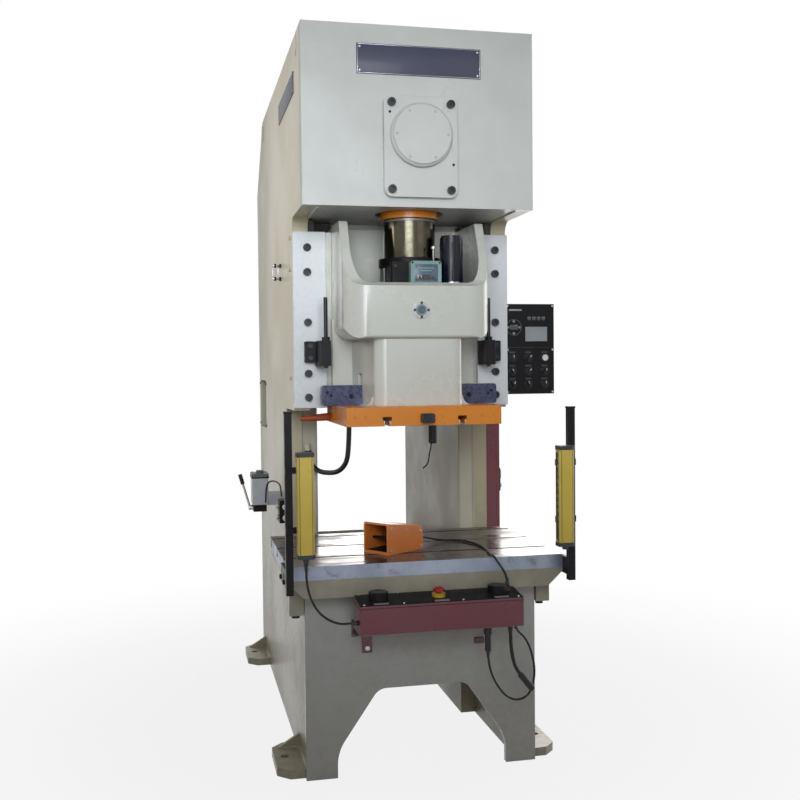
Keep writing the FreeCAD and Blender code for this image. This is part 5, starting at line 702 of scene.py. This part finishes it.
SIDE_FACE = 425
FOOT_PLACES = (15, 1478)
welds = Piece()
for side in (-1, 1):
    x = side * SIDE_FACE
    for y in FOOT_PLACES:
        bead(welds, (x, y - 145, 32), (x, y + 145, 32), 6)
        for rib in (84, 100):
            bead(welds, (x, y + rib, 36), (x, y + rib, 84), 4)
        bead(welds, (x + side * 4, y + 84, 33), (x + side * 84, y + 84, 33), 4)
    bead(welds, (side * 426, -134, 4), (side * 426, -134, 679), 4)
    bead(welds, (side * 365, -134, 679), (side * 365, 405, 679), 6)
    bead(welds, (x, -134, 681), (x, 410, 681), 6)
    bead(welds, (side * 305, 413, 750), (side * 305, 413, 1316), 4)
    bead(welds, (side * 365, 412, 748), (side * 365, 412, 1316), 5)
    bead(welds, (side * 424, -156, 2056), (side * 424, -156, 2690), 3)
    bead(welds, (side * 420, 1713, 8), (side * 420, 1713, 2386), 3)
    bead(welds, (side * 365, 1710, 330), (side * 365, 1710, 600), 6)
    bead(welds, (side * 365, -150, 2053), (side * 365, 296, 2053), 6)
welds.done("weld_beads", "seam", "frame", 0)

WINDOW_SCREWS = list(product((1340, 1670), (1196, 1404)))
screws("side_screws", "oxide", "frame", 0.3,
       *[([(side * SIDE_FACE, y, z) for y, z in WINDOW_SCREWS], (side, 0, 0), 6, 4) for side in (-1, 1)])
for y, z in ((222, 1863), (237, 1443), (214, 1985)):
    screws("side_plug_%d" % z, "side", "frame", 0.4, ([(-SIDE_FACE, y, z)], LEFT, 8, 5))
studs, stud_nuts = Piece(), Piece()
for y, z in ((557, 1911), (562, 1857)):
    studs.turned([(0, 5), (36, 5), (37, 4), (37, 0)], (-SIDE_FACE, y, z), LEFT, 20)
    for start in (0, 21):
        nut = [(start, 8), (start, 9), (start + 8, 9), (start + 8, 5)]
        stud_nuts.turned(nut, (-SIDE_FACE, y, z), LEFT, 6)
for reach in (12, 34):
    studs.block(-SIDE_FACE - reach - 1.5, -SIDE_FACE - reach + 1.5, 558, 561, 1857, 1911)
studs.done("side_studs", "bright steel", "frame", 0.3)
stud_nuts.done("side_stud_nuts", "oxide", "frame", 0.6)
side_plate = Piece().block(-428, -424.5, 33, 555, 2496, 2577)
side_plate.done("side_name_plate", "navy", "frame", 1.0)
side_rivets = Piece()
for y, z in product((44, 544), (2507, 2566)):
    side_rivets.turned([(0, 4.2), (1.4, 3.8), (2.2, 0)], (-428, y, z), LEFT, 16)
side_rivets.done("side_plate_rivets", "bright steel", "frame", 0)
# Rims round the lifting holes, and dark discs inside them: painted shade in place of the holes' depth.
lift_rims, lift_hole_shades = Piece(), Piece()
for side in (-1, 1):
    for y, z in ((-35, 2649), (1350, 2640)):
        lift_rims.turned([(0, 37), (1.6, 37), (2.6, 35.6), (2.6, 32)], (side * 424.5, y, z), (side, 0, 0), 56)
        lift_hole_shades.turned([(0, 32.5), (0.9, 32.5), (0.9, 0)], (side * 424.8, y, z), (side, 0, 0), 56)
lift_rims.done("lifting_hole_rims", "side", "frame", 0.5)
lift_hole_shades.done("lifting_hole_shades", "knob", "frame", 0, slot="black_oxide")

# ---- slide and die height adjustment
PORT = (0, -191, 1686)
port = Piece().turned([(0, 21), (2.6, 21), (3.4, 20), (3.4, 15), (0.6, 14.4), (0.6, 0)], PORT, FRONT, 48)
port.done("port_ring", "legend", "slide", 0.4, slot="bright_steel")
port_eye = Piece().turned([(0, 13.4), (2, 13.4), (3, 12), (3, 5), (2, 4), (2, 0)], PORT, FRONT, 40)
port_eye.done("port_eye", "counter face", "slide", 0.3, slot="valve_navy")
screws("port_screws", "oxide", "slide", 0.3, (circle(*PORT, 25.5, 4), FRONT, 4.6, 4))

face = Piece().block(-20, 76, -149.5, -147.5, 1787, 1857)
face.done("counter_face", "counter face", "slide", 0.5, slot="counter_green")
window = Piece().block(-4, 60, -150.6, -149, 1798, 1816)
window.done("counter_window", "lamp glass", "slide", 0.6, slot="counter_green")
digits = Piece()
for k in range(5):
    digits.block(-1 + k * 12, 8 + k * 12, -151.4, -150.2, 1801, 1813)
digits.done("counter_wheels", "dark legend", "slide", 0.8, slot="panel_black")
legend = Piece()
for low, left, right in ((1838, 0, 56), (1829, 8, 48)):
    legend.block(left, right, -150.1, -149.3, low, low + 4)
legend.done("counter_lines", "teal", "slide", 0.1, slot="counter_green")
screws("counter_screws", "oxide", "slide", 0.3,
       (product((-23, 79), (-152,), (1784, 1860)), FRONT, 4.2, 2.6),
       (product((-8, 64), (-149.5,), (1798, 1846)), FRONT, 2.6, 1.6))
counter_pin = Piece()
counter_pin.turned([(0, 4), (50, 4), (51, 8), (62, 8), (63, 0)], (66, -108, 1862), UP, 24)
counter_pin.done("counter_pin", "bright steel", "slide", 0.3)

MOTOR_X, MOTOR_Y = 143, -78
motor_trim = Piece()
motor_trim.turned([(0, 44.5), (7, 44.5), (8, 43), (8, 41)], (MOTOR_X, MOTOR_Y, 1786), UP, 64)
for x, y in ((-33, -33), (33, -33), (33, 33), (-33, 33)):
    screw(motor_trim, (MOTOR_X + x, MOTOR_Y + y, 1777), UP, 5, 6)
motor_trim.done("adjuster_motor_trim", "bright steel", "slide", 0.4)
motor_ribs = Piece()
for k in range(16):
    turn = pi / 8 * k + pi / 16
    out, along = Vector((cos(turn), sin(turn), 0)), Vector((-sin(turn), cos(turn), 0))
    motor_ribs.prism([(40.5, -2.4), (43.4, -2.4), (43.4, 2.4), (40.5, 2.4)],
                     lambda u, v: Vector((MOTOR_X, MOTOR_Y, 1798)) + out * u + along * v, (0, 0, 140))
motor_ribs.done("adjuster_motor_ribs", "motor black", "slide", 0.6, slot="motor_paint")

HOUSING_TURNS = [pi / 4 * k + pi / 8 for k in range(8)]
screws("gearbox_screws", "oxide", "slide", 0.3,
       (product((-80, 80), (-118,), (1716, 1850)), FRONT, 7, 6),
       ([(106 * cos(a), 106 * sin(a), 1884) for a in HOUSING_TURNS], UP, 5, 5))
sleeve_rings = Piece()
sleeve_rings.turned([(0, 97), (0.5, 99), (9, 99), (10, 97)], (0, 0, 2019), UP, 96)
sleeve_rings.done("sleeve_collar", "forged steel", "rod", 0.3, slot="bright_steel")

PLUG_PLACES = [(side * x, -230, 1306) for side in (-1, 1) for x in (62, 214, 256)]
screws("slide_plate_plugs", "orange", "slide", 0.3, (PLUG_PLACES, FRONT, 4.5, 1.5), slot="orange_paint")
slot_lips = Piece()
for side in (-1, 1):
    for edge in (-1, 1):
        x = side * 138 + edge * 9
        slot_lips.block(min(x, x + edge * 2), max(x, x + edge * 2), -230.4, -229.4, 1272.5, 1291)
slot_lips.done("slide_slot_lips", "bright steel", "slide", 0.2)
screws("bar_screws", "bracket", "knockout", 0.3,
       *[([(side * x, -6, z)], FRONT, radius, 4) for side in (-1, 1)
         for x, z, radius in ((318, 1390, 5), (304, 1378, 5), (228, 1374, 9))], slot="black_oxide")
side_rod = Piece()
side_rod.turned([(0, 15), (40, 14), (96, 10), (112, 7), (116, 0)], (-284, 196, 1290), (-1, 0.02, -0.06), 28)
side_rod.done("slide_side_rod", "strap red", "slide", 0.5, slot="orange_paint")

# ---- control panel
PANEL_LEFT, PANEL_LOW, PANEL_SKIN, LEGEND_Y = 429.0, 1368.0, 150.2, (149.2, 150.4)
KNOB_ROWS, KNOB_COLUMNS = (40, 92, 146), (27, 94, 163)
legends = Piece()
for row, column in product(KNOB_ROWS, KNOB_COLUMNS):
    x, z = PANEL_LEFT + column, PANEL_LOW + row
    legends.block(x - 13, x + 13, *LEGEND_Y, z + 19, z + 25)
title = Piece().block(PANEL_LEFT + 14, PANEL_LEFT + 68, *LEGEND_Y, PANEL_LOW + 334, PANEL_LOW + 341)
title.done("panel_title_bare", "legend", "frame", 0.2, slot="bright_steel")
legends.done("panel_legends", "dark legend", "frame", 0.2, slot="bright_steel")
KNOB_TURNS = (0.6, -0.5, 0.0, -0.6, 0.5, 0.2, 0.0, 0.7)
pointers = Piece()
for (row, column), turn in zip(product(KNOB_ROWS, KNOB_COLUMNS), KNOB_TURNS):
    x, z = PANEL_LEFT + column, PANEL_LOW + row
    dx, dz = sin(turn), cos(turn)
    outline = [(x + dz * across + dx * reach, z - dx * across + dz * reach)
               for across, reach in ((-1.3, 2), (1.3, 2), (1.3, 11.5), (-1.3, 11.5))]
    pointers.prism(outline, lambda u, v: (u, 128.2, v), (0, -0.8, 0))
pointers.done("knob_pointers", "white plastic", "frame", 0.1, slot="white_button")
bezels = Piece()
for row, column in product(KNOB_ROWS, KNOB_COLUMNS):
    bezels.turned([(0, 18.5), (2.4, 18.5), (3.2, 17), (3.2, 14.2)],
                  (PANEL_LEFT + column, PANEL_SKIN, PANEL_LOW + row), FRONT, 40)
bezels.done("knob_bezels", "knob", "frame", 0.2, slot="bright_steel")
lamps = Piece()
for k in range(4):
    x = PANEL_LEFT + 92 + k * 20
    lamps.block(x, x + 14, 147.4, 150.4, PANEL_LOW + 296, PANEL_LOW + 311)
lamps.block(PANEL_LEFT + 18, PANEL_LEFT + 50, 146.8, 150.4, PANEL_LOW + 258, PANEL_LOW + 278)
lamps.done("panel_windows", "lamp glass", "frame", 0.8, slot="panel_black")
dial_dots = Piece()
for place in circle(PANEL_LEFT + 34, PANEL_SKIN, PANEL_LOW + 268, 24, 4):
    dial_dots.turned([(0, 5.2), (1.0, 5.0), (1.6, 0)], place, FRONT, 12)
dial_dots.done("dial_dots", "legend", "frame", 0, slot="white_button")
panel_places = [(PANEL_LEFT + x, PANEL_SKIN, PANEL_LOW + z) for x, z in product((8, 197), (8, 178, 354))]
screws("panel_screws", "bright steel", "frame", 0.2, (panel_places, FRONT, 4.2, 2.6))
panel_seam = Piece()
panel_seam.block(PANEL_LEFT + 2, PANEL_LEFT + 203, 149.4, 150.3, PANEL_LOW + 187, PANEL_LOW + 188.4)
panel_seam.done("panel_seam", "cap grey", "frame", 0, slot="panel_black")

# ---- two-hand box
BOX_TILT = (0, -0.11, 1)
BOX_SCREWS = [(x, y, z) for x in (-258, -120, 90, 290) for y, z in ((-392, 676.2), (-284, 688.4))]
screws("box_screws", "bright steel", "frame", 0.2, (BOX_SCREWS, BOX_TILT, 4.5, 3))
box_plates = Piece()
for x in (BUTTON_X[0], STOP_X, BUTTON_X[1]):
    box_plates.prism([(x - 26, -394), (x + 26, -394), (x + 26, -379), (x - 26, -379)],
                     lambda u, v: (u, v, 675.6 + (v + 400) * 0.1129), (0, -0.1, 1.2))
box_plates.done("box_legends", "legend", "frame", 0.2, slot="bright_steel")
box_seam = Piece()
box_seam.block(-274.6, 306.6, -401, -399.4, 664, 666)
box_seam.block(-275, -273.4, -396, -280, 664, 666).block(305.4, 307, -396, -280, 664, 666)
box_seam.done("box_seam", "knob", "frame", 0, slot="panel_black")
tabs = Piece().block(-226, -190, -170, -158.6, 452, 516).block(196, 232, -170, -158.6, 458, 480)
tabs.done("arm_tabs", "maroon", "frame", 1.2, slot="black_oxide")
tab_screw = screw(Piece(), (-208, -170, 470), FRONT, 9, 7, 0.5)
tab_screw.done("arm_tab_screw", "bright steel", "frame", 0.4)
arm_bolts = Piece()
for x in (-246, 144):
    screw(arm_bolts, (x, -165, 532), FRONT, 9, 8)
    arm_bolts.turned([(0, 15), (2.4, 15), (2.4, 9)], (x, -165, 532), FRONT, 32)
    screw(arm_bolts, (x, -250, 566), DOWN, 8, 7)
arm_bolts.done("arm_bolts", "oxide", "frame", 0.3)
domes = Piece()
for x in BUTTON_X:
    domes.turned([(0, 33), (1.5, 31), (1.5, 25)], (x, BUTTON_Y, 709.2), UP, 48)
domes.done("palm_guard_lips", "knob", "frame", 0.3, slot="panel_black")

# ---- light curtains
posts = Piece()
for side in (-1, 1):
    x = side * 504
    posts.block(x - 14, x + 14, -359, -331, 1329, 1336)
    for z in (937, 1139):
        screw(posts, (x, -366, z + 5), FRONT, 6, 6)
        screw(posts, (side * CURTAIN_X, -366.5, z), FRONT, 5, 4)
    for y in (-300, -200):
        screw(posts, (side * 516, y, 752), (side, 0, 0), 9, 8)
posts.done("post_fittings", "bracket", "frame", 1.0, slot="black_oxide")
screws("curtain_screws", "bright steel", "frame", 0.2,
       ([(side * CURTAIN_X + x, CURTAIN_FACE, z) for side in (-1, 1) for z in (858, 1196) for x in (-18, 18)],
        FRONT, 2.8, 1.4))
sights, curtain_lines = Piece(), Piece()
for side in (-1, 1):
    for k in range(12):
        sights.turned([(0, 6.5), (1.2, 6.5), (1.8, 4.6), (0.8, 3), (0.8, 0)],
                      (side * (CURTAIN_X - 26), CURTAIN_Y, 884 + k * 26), (-side, 0, 0), 20)
    for x in (side * CURTAIN_X - 20.5, side * CURTAIN_X + 20.5):
        curtain_lines.block(x - 0.7, x + 0.7, -436, -434.8, 866, 1186)
sights.done("curtain_sights", "lens", "frame", 0.2, slot="curtain_yellow")
curtain_lines.done("curtain_lines", "cap grey", "frame", 0, slot="curtain_yellow")

# ---- lubrication
pump_trim = Piece().block(-556, -482, 612, 728, 1012, 1017)
pump_trim.done("pump_rim", "gearbox", "frame", 0.8, slot="pump_grey")
screws("pump_screws", "bright steel", "frame", 0.4, (product((-545, -493), (626, 714), (1030,)), UP, 4.5, 3))
OUTLET_RING = [(0, 11), (4, 11), (5, 9.5), (5, 8)]
outlet_rings = Piece()
for z in (880, 924):
    outlet_rings.turned(OUTLET_RING, (-446, 324, z), FRONT, 32)
    outlet_rings.turned(OUTLET_RING, (-473, 360, z), LEFT, 32)
outlet_rings.done("outlet_rings", "white plastic", "frame", 0.3, slot="white_button")
OIL_PIPE = [(-498, 622, 905), (-498, 606, 915), (-497, 604, 963), (-489, 596, 998), (-468, 540, 1009),
            (-452, 450, 1004), (-454, 398, 977), (-454, 384, 962)]
oil_pipe = Piece().pipe(line_points(cord_line("feed_path", OIL_PIPE)), 3.2)
oil_pipe.done("oil_pipes", "cord", "frame", 0, slot="cord_black")
lever_joint = Piece()
lever_joint.turned([(-5, 9), (5, 9), (6, 7.5), (6, 0)], (-555, 670, 882), (1, 0, 0), 28)
lever_joint.done("lever_joint", "white plastic", "lever", 0.5, slot="white_button")


# ---- foot switch
SWITCH_X, SWITCH_Y, SWITCH_FOOT, SWITCH_TURN = -79, -39, 795, radians(-53)


def switch_place(across, along, up):
    """Point on the foot switch: across its width, along its length, above the bolster."""
    c, s = cos(SWITCH_TURN), sin(SWITCH_TURN)
    return SWITCH_X + across * c - along * s, SWITCH_Y + across * s + along * c, SWITCH_FOOT + up


out = Vector(switch_place(61, 0, 0)) - Vector(switch_place(60, 0, 0))
SWITCH_SCREWS = ((-84, 14), (-84, 96), (84, 14), (84, 70), (0, 84))
screws("switch_screws", "bright steel", "frame", 0.3,
       *[([switch_place(side * 60, *place)], side * out, 4.5, 2.6)
         for place, side in product(SWITCH_SCREWS, (1, -1))])

# ---- cabinet and back
cabinet_trim = Piece()
for y, z in product((840, 1380), (664, 1466)):
    screw(cabinet_trim, (615.4, y, z), (1, 0, 0), 5, 3)
for k in range(8):
    cabinet_trim.block(520, 522.5, 819.2, 820.8, 700 + k * 14, 706 + k * 14)
cabinet_trim.done("cabinet_screws", "bright steel", "frame", 0.3)
door_trim = Piece()
door_trim.turned([(0, 12), (5, 12), (6, 10.5), (6, 3), (3, 3), (3, 0)], (627.4, 854, 918), (1, 0, 0), 32)
door_trim.block(626.8, 633, 849, 859, 950, 990)
door_trim.done("door_handle", "bright steel", "door", 0.8)


# ---- floor and light
def add_stage():
    """Floor that the camera sees as white further out and slightly shaded round the press."""
    mesh = bpy.data.meshes.new("floor")
    reach = 60.0
    corners = [(-reach, -reach, 0), (reach, -reach, 0), (reach, reach, 0), (-reach, reach, 0)]
    mesh.from_pydata(corners, [], [(0, 1, 2, 3)])
    floor = placed("floor", mesh)
    floor.location.z = -0.5 * MM
    f = Finish("pale floor")
    f.done(f.mix(f.noise(3.0, 4.0), (168, 168, 166), (160, 160, 159)), 0.7, Specular_IOR_Level=0.0)
    lit = f.add("ShaderNodeEmission", {"Color": (1, 1, 1, 1)})
    far = f.add("ShaderNodeVectorMath", {0: f.place}, operation="LENGTH").outputs["Value"]
    share = f.maths("MULTIPLY", f.seen(), f.step(far, 0.8, 3.2, 0.86, 1.0))
    dull = f.nodes["Principled BSDF"]
    blend = f.add("ShaderNodeMixShader", {0: share, 1: dull.outputs[0], 2: lit.outputs[0]})
    f.feed(f.nodes["Material Output"], {0: blend.outputs[0]})
    mesh.materials.append(f.owner)


def add_lamp(name, place, target, size, power, colour, spread=180):
    data = bpy.data.lights.new(name, "AREA")
    data.shape = "RECTANGLE"
    data.spread = radians(spread)
    data.size, data.size_y = size
    data.energy = power
    data.color = colour
    lamp = placed(name, data)
    lamp.location = spot(*place)
    lamp.rotation_euler = (spot(*target) - lamp.location).to_track_quat("-Z", "Y").to_euler()


def add_world():
    """Dim bluish light all round, which the eye sees as white."""
    world = bpy.data.worlds.new("studio")
    bpy.context.scene.world = world
    f = Finish("studio", world)
    soft = f.feed(f.nodes["Background"], {"Color": (0.93, 0.95, 1.0, 1.0), "Strength": 0.15})
    white = f.add("ShaderNodeBackground", {"Color": (1, 1, 1, 1), "Strength": 1.0})
    mix = f.add("ShaderNodeMixShader", {0: f.seen(), 1: soft.outputs[0], 2: white.outputs[0]})
    f.feed(f.nodes["World Output"], {0: mix.outputs[0]})


add_stage()
add_world()
add_lamp("key", (-700, -3000, 2500), (-60, -100, 2080), (1.8, 1.4), 10.2, (0.87, 0.94, 1.0), 60)
add_lamp("side", (-2600, 300, 2700), (-425, 500, 2000), (1.2, 1.2), 4, (1.0, 0.95, 0.86), 70)
add_lamp("fill", (2000, -2500, 3100), (0, 0, 2000), (1.6, 1.6), 9, (1.0, 0.98, 0.95))
add_lamp("low", (-700, -3300, 1500), (-100, 0, 1000), (1.4, 0.8), 2.2, (0.94, 0.96, 1.0), 80)
add_lamp("back", (1500, 5000, 2300), (0, 900, 1400), (2.6, 2.6), 70, (1.0, 0.99, 0.97))
add_lamp("right", (3600, 1500, 2100), (425, 800, 1300), (2.0, 2.0), 34, (1.0, 0.98, 0.95))
bpy.context.scene.view_settings.view_transform = "Standard"
